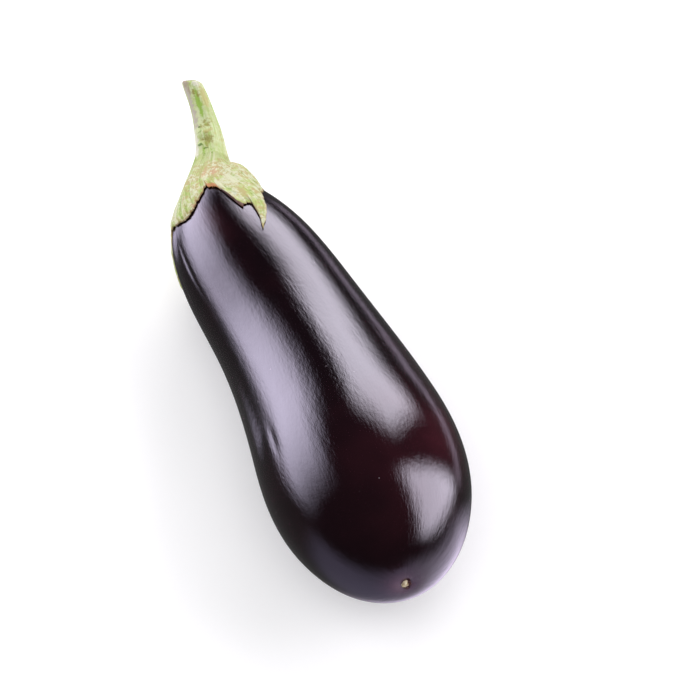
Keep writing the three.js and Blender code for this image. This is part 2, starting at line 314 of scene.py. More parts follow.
class Graph:
    """A node tree, with short ways to add the nodes that materials and the sky both use."""

    def __init__(self, tree: bpy.types.NodeTree) -> None:
        """Empties the tree."""
        self.tree = tree
        self.tree.nodes.clear()

    def connect(self, value: Value, socket: Socket) -> None:
        """Links a socket, or sets a plain value.

        Args:
            value: an output socket, a number, a colour or a vector.
            socket: the input that takes it.
        """
        if isinstance(value, Socket):
            self.tree.links.new(value, socket)
        else:
            socket.default_value = value

    def math(self, operation: str, first: Value, second: Value) -> Socket:
        """One arithmetic step on two numbers.

        Args:
            operation: its name.
            first: a number or an output.
            second: a number or an output.

        Returns:
            The result.
        """
        node = self.tree.nodes.new("ShaderNodeMath")
        node.operation = operation
        self.connect(first, node.inputs[0])
        self.connect(second, node.inputs[1])
        return node.outputs["Value"]

    def vector_math(self, operation: str, first: Value, second: Value) -> Socket:
        """One arithmetic step on two vectors.

        Args:
            operation: its name.
            first: a vector or an output.
            second: a vector or an output.

        Returns:
            The resulting vector, or the number for a dot product.
        """
        node = self.tree.nodes.new("ShaderNodeVectorMath")
        node.operation = operation
        self.connect(first, node.inputs[0])
        self.connect(second, node.inputs[1])
        return node.outputs["Value" if operation == "DOT_PRODUCT" else "Vector"]

    def step(self, value: Socket, band: Band) -> Socket:
        """Maps a number by a smooth step.

        Args:
            value: the number.
            band: the step.

        Returns:
            The mapped number.
        """
        node = self.tree.nodes.new("ShaderNodeMapRange")
        node.interpolation_type = "SMOOTHSTEP"
        self.connect(value, node.inputs["Value"])
        node.inputs["From Min"].default_value = band.start
        node.inputs["From Max"].default_value = band.end
        node.inputs["To Min"].default_value = band.low
        node.inputs["To Max"].default_value = band.high
        return node.outputs["Result"]

    def mix(self, kind: str, amount: Socket, below: Value, above: Value) -> Socket:
        """A value between two of the same kind, by an amount from 0 to 1.

        Args:
            kind: RGBA or VECTOR, as sockets name it.
            amount: the share of the value above.
            below: a value or an output.
            above: a value or an output.

        Returns:
            The mixed value.
        """
        node = self.tree.nodes.new("ShaderNodeMix")
        node.data_type = kind
        self.connect(amount, node.inputs["Factor"])
        *_, first, second = [socket for socket in node.inputs if socket.type == kind]
        self.connect(below, first)
        self.connect(above, second)
        return next(socket for socket in node.outputs if socket.type == kind)


class Nodes(Graph):
    """A material's node tree, with the nodes that the finishes use."""

    def __init__(self, name: str) -> None:
        """Starts a material whose surface is one Principled shader.

        Args:
            name: the material's name.
        """
        self.material = bpy.data.materials.new(name)
        self.material.use_nodes = True
        super().__init__(self.material.node_tree)
        self.shader = self.tree.nodes.new("ShaderNodeBsdfPrincipled")
        output = self.tree.nodes.new("ShaderNodeOutputMaterial")
        self.connect(self.shader.outputs["BSDF"], output.inputs["Surface"])

    def finish(self, colour: Socket, normal: Socket, roughness: float) -> bpy.types.Material:
        """Gives the shader its colour, normal and roughness.

        Args:
            colour: the base colour.
            normal: the bumped normal.
            roughness: the same all over.

        Returns:
            The material.
        """
        self.connect(colour, self.shader.inputs["Base Color"])
        self.connect(normal, self.shader.inputs["Normal"])
        self.connect(roughness, self.shader.inputs["Roughness"])
        return self.material

    def attribute(self, name: str, vector: bool = False) -> Socket:
        """Reads what the piece holds at each point.

        Args:
            name: the name of the piece's value.
            vector: whether it is a vector.

        Returns:
            The number or vector.
        """
        node = self.tree.nodes.new("ShaderNodeAttribute")
        node.attribute_name = name
        return node.outputs["Vector" if vector else "Fac"]

    def place(self) -> Socket:
        """Object coordinates, in metres."""
        return self.tree.nodes.new("ShaderNodeTexCoord").outputs["Object"]

    def noise(self, vector: Socket, pattern: Pattern) -> Socket:
        """Cloudy noise from 0 to 1.

        Args:
            vector: the coordinates.
            pattern: its sizes.

        Returns:
            The noise's value.
        """
        if pattern.stretch is not None:
            vector = self.vector_math("MULTIPLY", vector, pattern.stretch)
        node = self.tree.nodes.new("ShaderNodeTexNoise")
        self.connect(vector, node.inputs["Vector"])
        node.inputs["Scale"].default_value = pattern.scale
        node.inputs["Detail"].default_value = pattern.detail
        node.inputs["Roughness"].default_value = pattern.rough
        return node.outputs["Fac"]

    def cells(self, vector: Socket, scale: float) -> Socket:
        """The distance to the nearest of points strewn at random.

        Args:
            vector: the coordinates.
            scale: how many points there are on one metre.

        Returns:
            The distance, as a share of the points' spacing.
        """
        node = self.tree.nodes.new("ShaderNodeTexVoronoi")
        self.connect(vector, node.inputs["Vector"])
        node.inputs["Scale"].default_value = scale
        return node.outputs["Distance"]

    def ragged(self, name: str, noise: Socket, rag: Band, band: Band) -> Socket:
        """A smooth step of the piece's named value, after the stepped noise has frayed its edge."""
        frayed = self.math("ADD", self.attribute(name), self.step(noise, rag))
        return self.step(frayed, band)

    def blend(self, amount: Socket, below: Colour | Socket, above: Colour | Socket) -> Socket:
        """A colour between two, by an amount from 0 to 1."""
        return self.mix("RGBA", amount, opaque(below), opaque(above))

    def bump(self, height: Socket, depth: float, under: Socket | None = None) -> Socket:
        """A bumped normal.

        Args:
            height: the relief from 0 to 1.
            depth: its height in millimetres.
            under: a normal that this relief is added to.

        Returns:
            The new normal.
        """
        node = self.tree.nodes.new("ShaderNodeBump")
        node.inputs["Strength"].default_value = 1.0
        node.inputs["Distance"].default_value = depth * MM
        self.connect(height, node.inputs["Height"])
        if under is not None:
            self.connect(under, node.inputs["Normal"])
        return node.outputs["Normal"]


def opaque(colour: Colour | Socket) -> tuple[float, ...] | Socket:
    """A colour of three parts with an alpha of 1 added; an output is passed on."""
    return colour if isinstance(colour, Socket) else (*colour, 1.0)


@dataclass(frozen=True)
class SkinFinish:
    """Waxy, nearly black purple skin with fine streaks along the fruit and a few pale specks."""

    dark: Colour = (0.0047, 0.0018, 0.0031)
    # a deep red: the skin's own tone in its clouds, and a painted glow of light in the marked patches
    wine_and_glow: Colour = (0.0360, 0.0074, 0.0118)
    halo: Colour = (0.150, 0.060, 0.095)
    shade: Colour = (0.022, 0.005, 0.005)
    speck: Colour = (0.16, 0.13, 0.15)
    roughness: float = 0.08
    ior: float = 1.5
    clouds: Pattern = Pattern(38.0, 2.0)
    clouded_flush: Band = Band(0.3, 0.7, 0.6, 1.25)
    stray_flush: Band = Band(0.45, 0.75, 0.0, 0.10)
    speck_scale: float = 190.0
    speck_spots: Band = Band(0.060, 0.03)
    speck_clouds: Pattern = Pattern(60.0, 1.0)
    speck_places: Band = Band(0.55, 0.62)
    pores: Pattern = Pattern(1150.0, 3.0, 0.6, (1.0, 1.0, 0.33))
    pore_depth: float = 0.070
    streaks: Pattern = Pattern(480.0, 3.0, 0.6, (1.0, 1.0, 0.05))
    streak_depth: float = 0.040
    swell: Pattern = Pattern(210.0, 2.0, 0.5, (1.0, 1.0, 0.35))
    swell_depth: float = 0.105

    def material(self) -> bpy.types.Material:
        """Dark colour with deep red clouds, redder patches that partly paint a glow of light, specks, a paler
        ring and the pit's shade; pores, streaks and a swell as relief.

        Returns:
            The new material.
        """
        nodes = Nodes("eggplant_skin")
        grain = nodes.attribute("grain", vector=True)
        place = nodes.place()
        clouds = nodes.noise(place, self.clouds)
        # partly painted light: the marked patches brighten the skin with a painted glow of light
        flush_and_glow = nodes.math("MULTIPLY", nodes.attribute("flush_and_glow"), nodes.step(clouds, self.clouded_flush))
        flush_and_glow = nodes.math("ADD", flush_and_glow, nodes.step(clouds, self.stray_flush))
        colour = nodes.blend(flush_and_glow, self.dark, self.wine_and_glow)
        spots = nodes.step(nodes.cells(place, self.speck_scale), self.speck_spots)
        places = nodes.step(nodes.noise(place, self.speck_clouds), self.speck_places)
        colour = nodes.blend(nodes.math("MULTIPLY", spots, places), colour, self.speck)
        colour = nodes.blend(nodes.attribute("halo"), colour, self.halo)
        colour = nodes.blend(nodes.attribute("shade"), colour, self.shade)
        normal = nodes.bump(nodes.noise(grain, self.pores), self.pore_depth)
        normal = nodes.bump(nodes.noise(grain, self.streaks), self.streak_depth, normal)
        normal = nodes.bump(nodes.noise(grain, self.swell), self.swell_depth, normal)
        nodes.connect(self.ior, nodes.shader.inputs["IOR"])
        return nodes.finish(colour, normal, self.roughness)


@dataclass(frozen=True)
class CalyxFinish:
    """Matt pale green sepals with cream and tan clouds, fibres, brown cut edges and a near-black brown
    underside that is partly painted shade.
    """

    cream: Colour = (0.54, 0.55, 0.37)
    green: Colour = (0.35, 0.43, 0.12)
    leaf: Colour = (0.21, 0.32, 0.050)
    tan: Colour = (0.37, 0.31, 0.115)
    bark: Colour = (0.43, 0.47, 0.23)
    grey: Colour = (0.42, 0.45, 0.32)
    pink: Colour = (0.42, 0.26, 0.13)
    rim: Colour = (0.28, 0.15, 0.065)
    rust: Colour = (0.44, 0.20, 0.075)
    # partly painted shade: a brown darkened to near black for the underside and the dark flap
    under: Colour = (0.075, 0.032, 0.018)
    roughness: float = 0.62
    clouds: Pattern = Pattern(150.0, 4.0, 0.6)
    blotches: Pattern = Pattern(330.0, 4.0, 0.65)
    threads: Pattern = Pattern(760.0, 3.0, 0.6, (1.0, 1.0, 0.12))
    fine: Pattern = Pattern(800.0, 3.0, 0.6)
    cream_clouds: Band = Band(0.42, 0.58)
    tan_blotches: Band = Band(0.50, 0.58, 0.0, 0.95)
    green_bark: Band = Band(0.40, 0.66)
    cream_threads: Band = Band(0.53, 0.62, 0.0, 0.8)
    leaf_threads: Band = Band(0.46, 0.36, 0.0, 0.8)
    tan_flecks: Band = Band(0.57, 0.64, 0.0, 0.7)
    stalk_rag: Band = Band(0.3, 0.7, -0.25, 0.25)
    stalk_part: Band = Band(0.3, 0.7)
    mark_rag: Band = Band(0.3, 0.7, -0.3, 0.3)
    mark_part: Band = Band(0.3, 0.75, 0.0, 0.9)
    edge_rag: Band = Band(0.3, 0.7, -0.35, 0.35)
    edge_part: Band = Band(0.6, 1.0, 0.0, 0.8)
    thread_depth: float = 0.60
    blotch_depth: float = 0.60

    def material(self) -> bpy.types.Material:
        """Clouds of cream, green and tan, marks where the piece says, and a fibrous relief.

        Returns:
            The new material.
        """
        nodes = Nodes("eggplant_calyx")
        place = nodes.place()
        clouds = nodes.noise(place, self.clouds)
        blotches = nodes.noise(place, self.blotches)
        threads = nodes.noise(nodes.attribute("fibre", vector=True), self.threads)
        fine = nodes.noise(place, self.fine)
        colour = nodes.blend(nodes.step(clouds, self.cream_clouds), self.green, self.cream)
        colour = nodes.blend(nodes.step(blotches, self.tan_blotches), colour, self.tan)
        stalk = nodes.ragged("stalk", clouds, self.stalk_rag, self.stalk_part)
        bark = nodes.blend(nodes.step(clouds, self.green_bark), self.bark, self.green)
        colour = nodes.blend(stalk, colour, bark)
        colour = nodes.blend(nodes.step(threads, self.cream_threads), colour, self.cream)
        colour = nodes.blend(nodes.step(threads, self.leaf_threads), colour, self.leaf)
        colour = nodes.blend(nodes.step(fine, self.tan_flecks), colour, self.tan)
        marks = {
            "leafy": self.leaf,
            "grey": self.grey,
            "pale": self.cream,
            "tawny": self.tan,
            "rosy": self.pink,
        }
        for name, mark in marks.items():
            shown = nodes.ragged(name, fine, self.mark_rag, self.mark_part)
            colour = nodes.blend(shown, colour, mark)
        edge = nodes.ragged("edge", fine, self.edge_rag, self.edge_part)
        colour = nodes.blend(edge, colour, self.rim)
        colour = nodes.blend(nodes.attribute("rust"), colour, self.rust)
        # painted shade on the underside and the dark flap, in a darkened brown
        colour = nodes.blend(nodes.attribute("painted_under_shade"), colour, self.under)
        normal = nodes.bump(threads, self.thread_depth)
        normal = nodes.bump(blotches, self.blotch_depth, normal)
        return nodes.finish(colour, normal, self.roughness)


@dataclass(frozen=True)
class StemFinish:
    """Matt green bark with pale ribs, a lavender-grey left side that is painted shade, olive and tan marks
    and a dry cut.
    """

    pale: Colour = (0.54, 0.59, 0.34)
    green: Colour = (0.38, 0.46, 0.16)
    bright: Colour = (0.27, 0.43, 0.060)
    tan: Colour = (0.45, 0.42, 0.17)
    olive: Colour = (0.27, 0.25, 0.060)
    dark: Colour = (0.08, 0.15, 0.020)
    # painted shade on the stem's left side; on the cut it also mottles the dry face
    lilac_and_shade: Colour = (0.43, 0.38, 0.33)
    white: Colour = (0.68, 0.66, 0.56)
    dry: Colour = (0.36, 0.30, 0.22)
    roughness: float = 0.66
    clouds: Pattern = Pattern(170.0, 4.0, 0.6)
    threads: Pattern = Pattern(1100.0, 3.0, 0.6, (1.0, 1.0, 0.08))
    fine: Pattern = Pattern(620.0, 4.0, 0.6)
    green_clouds: Band = Band(0.40, 0.66)
    pale_threads: Band = Band(0.52, 0.68, 0.0, 0.7)
    bright_threads: Band = Band(0.46, 0.34, 0.0, 0.6)
    tan_flecks: Band = Band(0.56, 0.66, 0.0, 0.6)
    mark_rag: Band = Band(0.25, 0.75, -0.28, 0.28)
    mark_part: Band = Band(0.28, 0.72, 0.0, 0.9)
    cut_flecks: Band = Band(0.35, 0.65)
    thread_depth: float = 0.32
    fine_depth: float = 0.20

    def material(self) -> bpy.types.Material:
        """Pale and green bark in long fibres, with marks where the piece says.

        Returns:
            The new material.
        """
        nodes = Nodes("eggplant_stem")
        place = nodes.place()
        clouds = nodes.noise(place, self.clouds)
        threads = nodes.noise(nodes.attribute("fibre", vector=True), self.threads)
        fine = nodes.noise(place, self.fine)
        colour = nodes.blend(nodes.step(clouds, self.green_clouds), self.pale, self.green)
        colour = nodes.blend(nodes.step(threads, self.pale_threads), colour, self.pale)
        colour = nodes.blend(nodes.step(threads, self.bright_threads), colour, self.bright)
        colour = nodes.blend(nodes.step(fine, self.tan_flecks), colour, self.tan)
        marks = {
            "white": self.white,
            # painted shade: the lavender-grey marks on the stem's left side
            "lilac_and_shade": self.lilac_and_shade,
            "tan": self.tan,
            "bright": self.bright,
            "olive": self.olive,
            "dark": self.dark,
            "dry": self.dry,
        }
        for name, mark in marks.items():
            shown = nodes.ragged(name, fine, self.mark_rag, self.mark_part)
            colour = nodes.blend(shown, colour, mark)
        cut = nodes.blend(nodes.step(fine, self.cut_flecks), self.dry, self.lilac_and_shade)
        colour = nodes.blend(nodes.attribute("cut"), colour, cut)
        normal = nodes.bump(threads, self.thread_depth)
        normal = nodes.bump(fine, self.fine_depth, normal)
        return nodes.finish(colour, normal, self.roughness)


@dataclass(frozen=True)
class CorkFinish:
    """Dry tan cork with pale crests, dark cracks and one side painted dark as shade."""

    tan: Colour = (0.36, 0.22, 0.105)
    pale: Colour = (0.78, 0.68, 0.50)
    # the dark of the cracks, also used as painted shade on one side of the scar
    crack_and_shade: Colour = (0.035, 0.008, 0.007)
    roughness: float = 0.85
    crumbs: Pattern = Pattern(1100.0, 4.0, 0.65)
    crests: Band = Band(0.42, 0.54)
    cracks: Band = Band(0.43, 0.36)
    depth: float = 0.35

    def material(self) -> bpy.types.Material:
        """Tan crumbs with pale crests and dark cracks, and one side painted dark as shade where the piece
        says.

        Returns:
            The new material.
        """
        nodes = Nodes("eggplant_scar")
        crumbs = nodes.noise(nodes.place(), self.crumbs)
        colour = nodes.blend(nodes.step(crumbs, self.crests), self.tan, self.pale)
        colour = nodes.blend(nodes.step(crumbs, self.cracks), colour, self.crack_and_shade)
        # painted shade: one side of the scar is coloured dark
        colour = nodes.blend(nodes.attribute("low"), colour, self.crack_and_shade)
        return nodes.finish(colour, nodes.bump(crumbs, self.depth), self.roughness)


# ---------------------------------------------------------------------------- the fruit's form


@dataclass(frozen=True)
class FruitForm:
    """The round body: a radius carried along a gently bent axis.

    A point of the skin is given by its distance over the skin from the stem end and by its angle round
    the axis, in radians: 0 is the right side and a quarter turn is the top.

    Fields:
        blossom_end, belly_pull, neck_pull, stem_end: the corners of the axis's Bezier curve.
        belly_radius, neck_radius: the two radii that the body steps between.
        taper_start, taper_end: the lengths along the axis over which it does.
        blossom_rounding, shoulder_rounding, rounding_power: how long and how full the two ends round.
        lean_length, lean_sideways, lean_up: how the axis is pushed aside close to the stem.
        table_steps: how many chords measure the axis and the outline.
        distance_step, angle_step: the steps that give the normals.
    """

    blossom_end: Point = (4.3, -104.3, 57.1)
    belly_pull: Point = (4.8, -26.6, 42.0)
    neck_pull: Point = (3.1, 33.0, 27.6)
    stem_end: Point = (-33.0, 124.0, 40.8)
    belly_radius: float = 45.1
    neck_radius: float = 34.1
    taper_start: float = 35.0
    taper_end: float = 177.0
    blossom_rounding: float = 84.5
    shoulder_rounding: float = 79.5
    rounding_power: float = 2.4
    lean_length: float = 32.0
    lean_sideways: float = 9.1
    lean_up: float = 2.4
    table_steps: int = 4000
    distance_step: float = 0.2
    angle_step: float = 0.01

    @cached_property
    def corners(self) -> Array:
        """The axis's four Bezier corners."""
        return np.array([self.blossom_end, self.belly_pull, self.neck_pull, self.stem_end])

    @cached_property
    def axis_table(self) -> tuple[Array, Array]:
        """The axis's parameters and the lengths up to them, by adding short chords.

        Returns:
            The parameters and the lengths.
        """
        t = np.linspace(0.0, 1.0, self.table_steps + 1)
        chords = np.linalg.norm(np.diff(bezier(self.corners, t), axis=0), axis=1)
        return t, np.concatenate([[0.0], np.cumsum(chords)])

    @property
    def axis_length(self) -> float:
        """The length of the axis."""
        return float(self.axis_table[1][-1])

    def radius(self, along: Array) -> Array:
        """The radius at lengths along the axis from the blossom end.

        It is an S-shaped step from the belly's radius to the neck's, times the root of (1 - b^p)(1 - s^p),
        where b and s fall from 1 at the blossom and stem ends to 0 over the rounding lengths.

        Args:
            along: the lengths.

        Returns:
            The radii.
        """
        taper = smoothstep(along, self.taper_start, self.taper_end)
        body = self.belly_radius + (self.neck_radius - self.belly_radius) * taper
        blossom = np.maximum(0.0, 1.0 - along / self.blossom_rounding)
        shoulder = np.maximum(0.0, 1.0 - (self.axis_length - along) / self.shoulder_rounding)
        rounding = (1.0 - blossom**self.rounding_power) * (1.0 - shoulder**self.rounding_power)
        return body * np.sqrt(np.maximum(rounding, 0.0))

    @cached_property
    def outline_table(self) -> tuple[Array, Array]:
        """Distances over the skin from the stem end, by adding short chords of the outline.

        Returns:
            The distances, and the lengths along the axis that they belong to.
        """
        turn = np.linspace(0.0, math.pi, self.table_steps + 1)
        along = self.axis_length * (0.5 + 0.5 * np.cos(turn))
        chords = np.hypot(np.diff(along), np.diff(self.radius(along)))
        return np.concatenate([[0.0], np.cumsum(chords)]), along

    @property
    def skin_length(self) -> float:
        """The distance over the skin from the stem end to the blossom end."""
        return float(self.outline_table[0][-1])

    def section(self, along: Array) -> tuple[Array, Array, Array, Array]:
        """The cross-section at lengths along the axis.

        Close to the stem the centre is pushed aside and up by the cube of the nearness.

        Args:
            along: lengths from the blossom end.

        Returns:
            Its centre, and the unit vectors along the axis, to the right and up.
        """
        t = np.interp(along, self.axis_table[1], self.axis_table[0])
        tangent = unit(bezier_slope(self.corners, t))
        side = unit(np.cross(tangent, (0.0, 0.0, 1.0)))
        over = np.cross(side, tangent)
        lean = np.maximum(0.0, 1.0 - (self.axis_length - along) / self.lean_length)[..., None] ** 3
        centre = bezier(self.corners, t) + lean * (self.lean_sideways * side + self.lean_up * over)
        return centre, tangent, side, over

    def along_at(self, distance: Array) -> Array:
        """Lengths along the axis for distances over the skin, read from the outline table."""
        return np.interp(distance, *self.outline_table)

    def point(self, distance: Array, angle: Array) -> Array:
        """Points of the skin: the section's centre plus the radius in the direction of the angle.

        Args:
            distance: distances over the skin from the stem end.
            angle: angles round the axis.

        Returns:
            The points.
        """
        along = self.along_at(distance)
        centre, _, side, over = self.section(along)
        radius = self.radius(along)
        across = (radius * np.cos(angle))[..., None] * side
        return centre + across + (radius * np.sin(angle))[..., None] * over

    def normal(self, distance: Array, angle: Array) -> Array:
        """Outward normals: the cross product of the steps round and along the skin.

        Args:
            distance: distances over the skin from the stem end.
            angle: angles round the axis.

        Returns:
            Unit vectors.
        """
        inside = np.clip(distance, 2.0 * self.distance_step, self.skin_length - 2.0 * self.distance_step)
        down = self.point(inside + self.distance_step, angle)
        down = down - self.point(inside - self.distance_step, angle)
        around = self.point(inside, angle + self.angle_step) - self.point(inside, angle - self.angle_step)
        return unit(np.cross(around, down))

    def lifted(self, distance: Array, angle: Array, lift: Array) -> Array:
        """Skin points moved out along their normals."""
        return self.point(distance, angle) + np.asarray(lift)[..., None] * self.normal(distance, angle)


@dataclass(frozen=True)
class Mark:
    """A patch on a piece: its middle, its sizes and its strength.

    Fields:
        place: the middle, as a share of the stem or as millimetres over the fruit and calyx.
        angle: its angle round the piece.
        length: half its length, in the units of place.
        half_angle: half its width.
        strength: how much it shows, or its height or depth in millimetres.
        twist: how many degrees it turns over its half length.
    """

    place: float
    angle: float
    length: float
    half_angle: float
    strength: float = 1.0
    twist: float = 0.0

    def amount(self, place: Array, angle: Array) -> Array:
        """A bell along the piece times a bell round it.

        Args:
            place: shares or distances along the piece.
            angle: angles round it, in degrees.

        Returns:
            How much of the mark there is at each point.
        """
        along = (np.asarray(place) - self.place) / self.length
        apart = turn_apart(angle, self.angle + self.twist * along)
        return self.strength * bell(along, 1.0) * bell(apart, self.half_angle)


def marked(marks: tuple[Mark, ...], place: Array, angle: Array) -> Array:
    """The strongest of the marks at each point."""
    amounts = [mark.amount(place, angle) for mark in marks]
    return np.max(amounts, axis=0)


@dataclass
class FruitPiece:
    """The skin of the whole fruit in one closed surface.

    Fields:
        form: the fruit's form.
        rows, columns: the grid's size.
        end_crowding: how much closer the rows lie at the ends.
        inset: how far the skin lies inside the solid.
        dimple_depth, dimple_radius: the hollow at the blossom end.
        swell, swell_height: low swellings, which fade in from fade_start to fade_end from the ends.
        grain_radius: the radius of the bar that the pattern is rolled on.
        dents, flush_and_glow_marks: shallow dents, and redder patches of the skin's own tone that also paint
            a glow of light falling from the right.
        halo_radius, halo_side, halo_strength, halo_least: the paler ring round the scar.
        pit_radius, pit_side, pit_depth: the deeper side of the dimple.
        shade: from how deep in the pit the skin is dark.
    """

    form: FruitForm
    rows: int = 300
    columns: int = 260
    end_crowding: float = 0.11
    inset: float = 0.13
    dimple_depth: float = 0.75
    dimple_radius: float = 5.0
    swell: Waves = Waves(seed=7, count=14, turns=7, pitch=9.0)
    swell_height: float = 0.14
    fade_start: float = 4.0
    fade_end: float = 30.0
    grain_radius: float = 38.0
    dents: tuple[Mark, ...] = (
        Mark(place=55.0, angle=153.5, length=17.0, half_angle=1.8, strength=0.34),
        Mark(place=55.0, angle=174.4, length=12.0, half_angle=1.6, strength=0.22),
        Mark(place=178.0, angle=144.5, length=9.0, half_angle=2.6, strength=0.30),
    )
    # partly painted light: redder patches of the skin's tone that also paint a glow of light
    flush_and_glow_marks: tuple[Mark, ...] = (
        Mark(place=206.0, angle=57.0, length=27.0, half_angle=24.0, strength=0.75),
        Mark(place=192.0, angle=36.0, length=30.0, half_angle=12.0, strength=0.55),
        Mark(place=226.0, angle=100.0, length=34.0, half_angle=42.0, strength=0.22),
        Mark(place=46.0, angle=112.0, length=17.0, half_angle=9.0, strength=0.45),
    )
    halo_radius: float = 7.0
    halo_side: float = 215.0
    halo_strength: float = 0.60
    halo_least: float = 0.5
    pit_radius: float = 2.9
    pit_side: float = 312.0
    pit_depth: float = 1.1
    shade: Band = Band(0.15, 0.5)

    def grid(self) -> tuple[Array, Array]:
        """Rows from the stem end to the blossom end, crowded at both by a sine.

        Returns:
            The distance over the skin and the angle in radians of each point.
        """
        even = np.linspace(0.0, 1.0, self.rows + 2)[1:-1]
        share = even - self.end_crowding * np.sin(2.0 * math.pi * even)
        distance = (self.form.skin_length * share)[:, None]
        angle = np.linspace(0.0, 2.0 * math.pi, self.columns, endpoint=False)[None, :]
        return np.broadcast_arrays(distance, angle)

    def lift(self, distance: Array, angle: Array) -> Array:
        """How far the skin lies from the form: less the inset, dimple, swellings, pit and dents.

        Args:
            distance: the distance over the skin of each point.
            angle: its angle in radians.

        Returns:
            Heights, all below 0.
        """
        to_blossom = self.form.skin_length - distance
        fade = smoothstep(np.minimum(distance, to_blossom), self.fade_start, self.fade_end)
        lift = -self.inset - self.dimple_depth * bell(to_blossom, self.dimple_radius)
        lift = lift - self.swell_height * fade * self.swell.depths(angle, distance)
        dents = sum(dent.amount(distance, np.degrees(angle)) for dent in self.dents)
        return lift - self.pit_depth * self.pit(distance, angle) - dents

    def pit(self, distance: Array, angle: Array) -> Array:
        """The pit's share of its depth: a bell round the blossom end, on one side of it."""
        return bell(self.form.skin_length - distance, self.pit_radius) * facing(angle, self.pit_side)

    def values(self, distance: Array, angle: Array) -> dict[str, Array]:
        """What the finish needs to know at each point.

        Args:
            distance: the distance over the skin of each point.
            angle: its angle in radians.

        Returns:
            The pattern's coordinates, and how much red with painted glow, halo and shade there is.
        """
        aside = self.halo_least + (1.0 - self.halo_least) * facing(angle, self.halo_side)
        ring = bell(self.form.skin_length - distance, self.halo_radius)
        return {
            "grain": rolled(self.grain_radius, angle, distance),
            "flush_and_glow": sum(flush_and_glow.amount(distance, np.degrees(angle)) for flush_and_glow in self.flush_and_glow_marks),
            "halo": self.halo_strength * ring * aside,
            "shade": smoothstep(self.pit(distance, angle), self.shade.start, self.shade.end),
        }

    def build(self) -> bpy.types.Object:
        """The form's skin with its lift, cut flat where it would reach below the ground at 0.

        Returns:
            The finished piece.
        """
        distance, angle = self.grid()
        rows = self.form.lifted(distance, angle, self.lift(distance, angle))
        rows[..., 2] = np.maximum(rows[..., 2], 0.0)
        centre, tangent, _, _ = self.form.section(np.array([self.form.axis_length, 0.0]))
        first = centre[0] - self.inset * tangent[0]
        last = centre[1] + (self.inset + self.dimple_depth) * tangent[1]
        skin = Skin(rows, first, last, self.values(distance, angle))
        return skin.build("eggplant_skin", SkinFinish().material())


# --------------------------------------------------------------------------------------- stem


@dataclass(frozen=True)
class StemForm:
    """The stem's middle line and radius, the same as the solid's.

    Fields:
        fruit: the form that it stands on.
        seat_height, seat_sideways: where the seat lies from the axis's end.
        middle, bend, cut: the last three corners of the middle line's Bezier curve.
        radii: at even shares of its length.
        ridges, ridge_depth: how many ridges run along it, and their height as a share of the radius.
        cut_slope, slope_start: how steep the cut is, and from what share the sections slope.
        knob: the knob on its upper side, a third of the way along.
        table_steps: how many chords measure the middle line.
    """

    fruit: FruitForm
    seat_height: float = 4.5
    seat_sideways: float = 5.0
    middle: Point = (-19.2, 145.0, 46.0)
    bend: Point = (-18.9, 156.0, 52.0)
    cut: Point = (-22.0, 170.6, 59.9)
    radii: tuple[float, ...] = (8.5, 7.6, 6.8, 6.2, 5.4, 4.8, 4.4, 4.2, 3.9)
    ridges: int = 5
    ridge_depth: float = 0.07
    cut_slope: float = 0.35
    slope_start: float = 0.7
    knob: Mark = Mark(place=0.36, angle=105.0, length=0.07, half_angle=26.0, strength=1.3)
    table_steps: int = 1000

    @cached_property
    def seat(self) -> Array:
        """The middle of the flat that carries the stem."""
        centre, tangent, side, _ = self.fruit.section(np.array(self.fruit.axis_length))
        return centre + self.seat_height * tangent + self.seat_sideways * side

    @cached_property
    def corners(self) -> Array:
        """The middle line's four Bezier corners."""
        return np.array([self.seat, self.middle, self.bend, self.cut])

    @cached_property
    def table(self) -> tuple[Array, Array]:
        """How the middle line's parameter goes with its length, by adding short chords.

        Returns:
            Shares of the whole length, and the parameters.
        """
        t = np.linspace(0.0, 1.0, self.table_steps + 1)
        chords = np.linalg.norm(np.diff(bezier(self.corners, t), axis=0), axis=1)
        lengths = np.concatenate([[0.0], np.cumsum(chords)])
        return lengths / lengths[-1], t

    def section(self, share: Array) -> tuple[Array, Array, Array, Array]:
        """The cross-section at shares of the stem's length.

        Args:
            share: 0 at the seat and 1 at the cut.

        Returns:
            Its centre, and the unit vectors along the stem, to the right and up.
        """
        t = np.interp(share, *self.table)
        tangent = unit(bezier_slope(self.corners, t))
        side = unit(np.cross(tangent, (0.0, 0.0, 1.0)))
        return bezier(self.corners, t), tangent, side, np.cross(side, tangent)

    def radius(self, share: Array, degrees: Array) -> Array:
        """The listed radii, times 1 plus a cosine for each ridge, plus the knob's bell.

        Args:
            share: 0 at the seat and 1 at the cut.
            degrees: the angle round the stem.

        Returns:
            The radii.
        """
        steps = np.linspace(0.0, 1.0, len(self.radii))
        ridges = 1.0 + self.ridge_depth * np.cos(self.ridges * np.radians(degrees))
        return np.interp(share, steps, self.radii) * ridges + self.knob.amount(share, degrees)


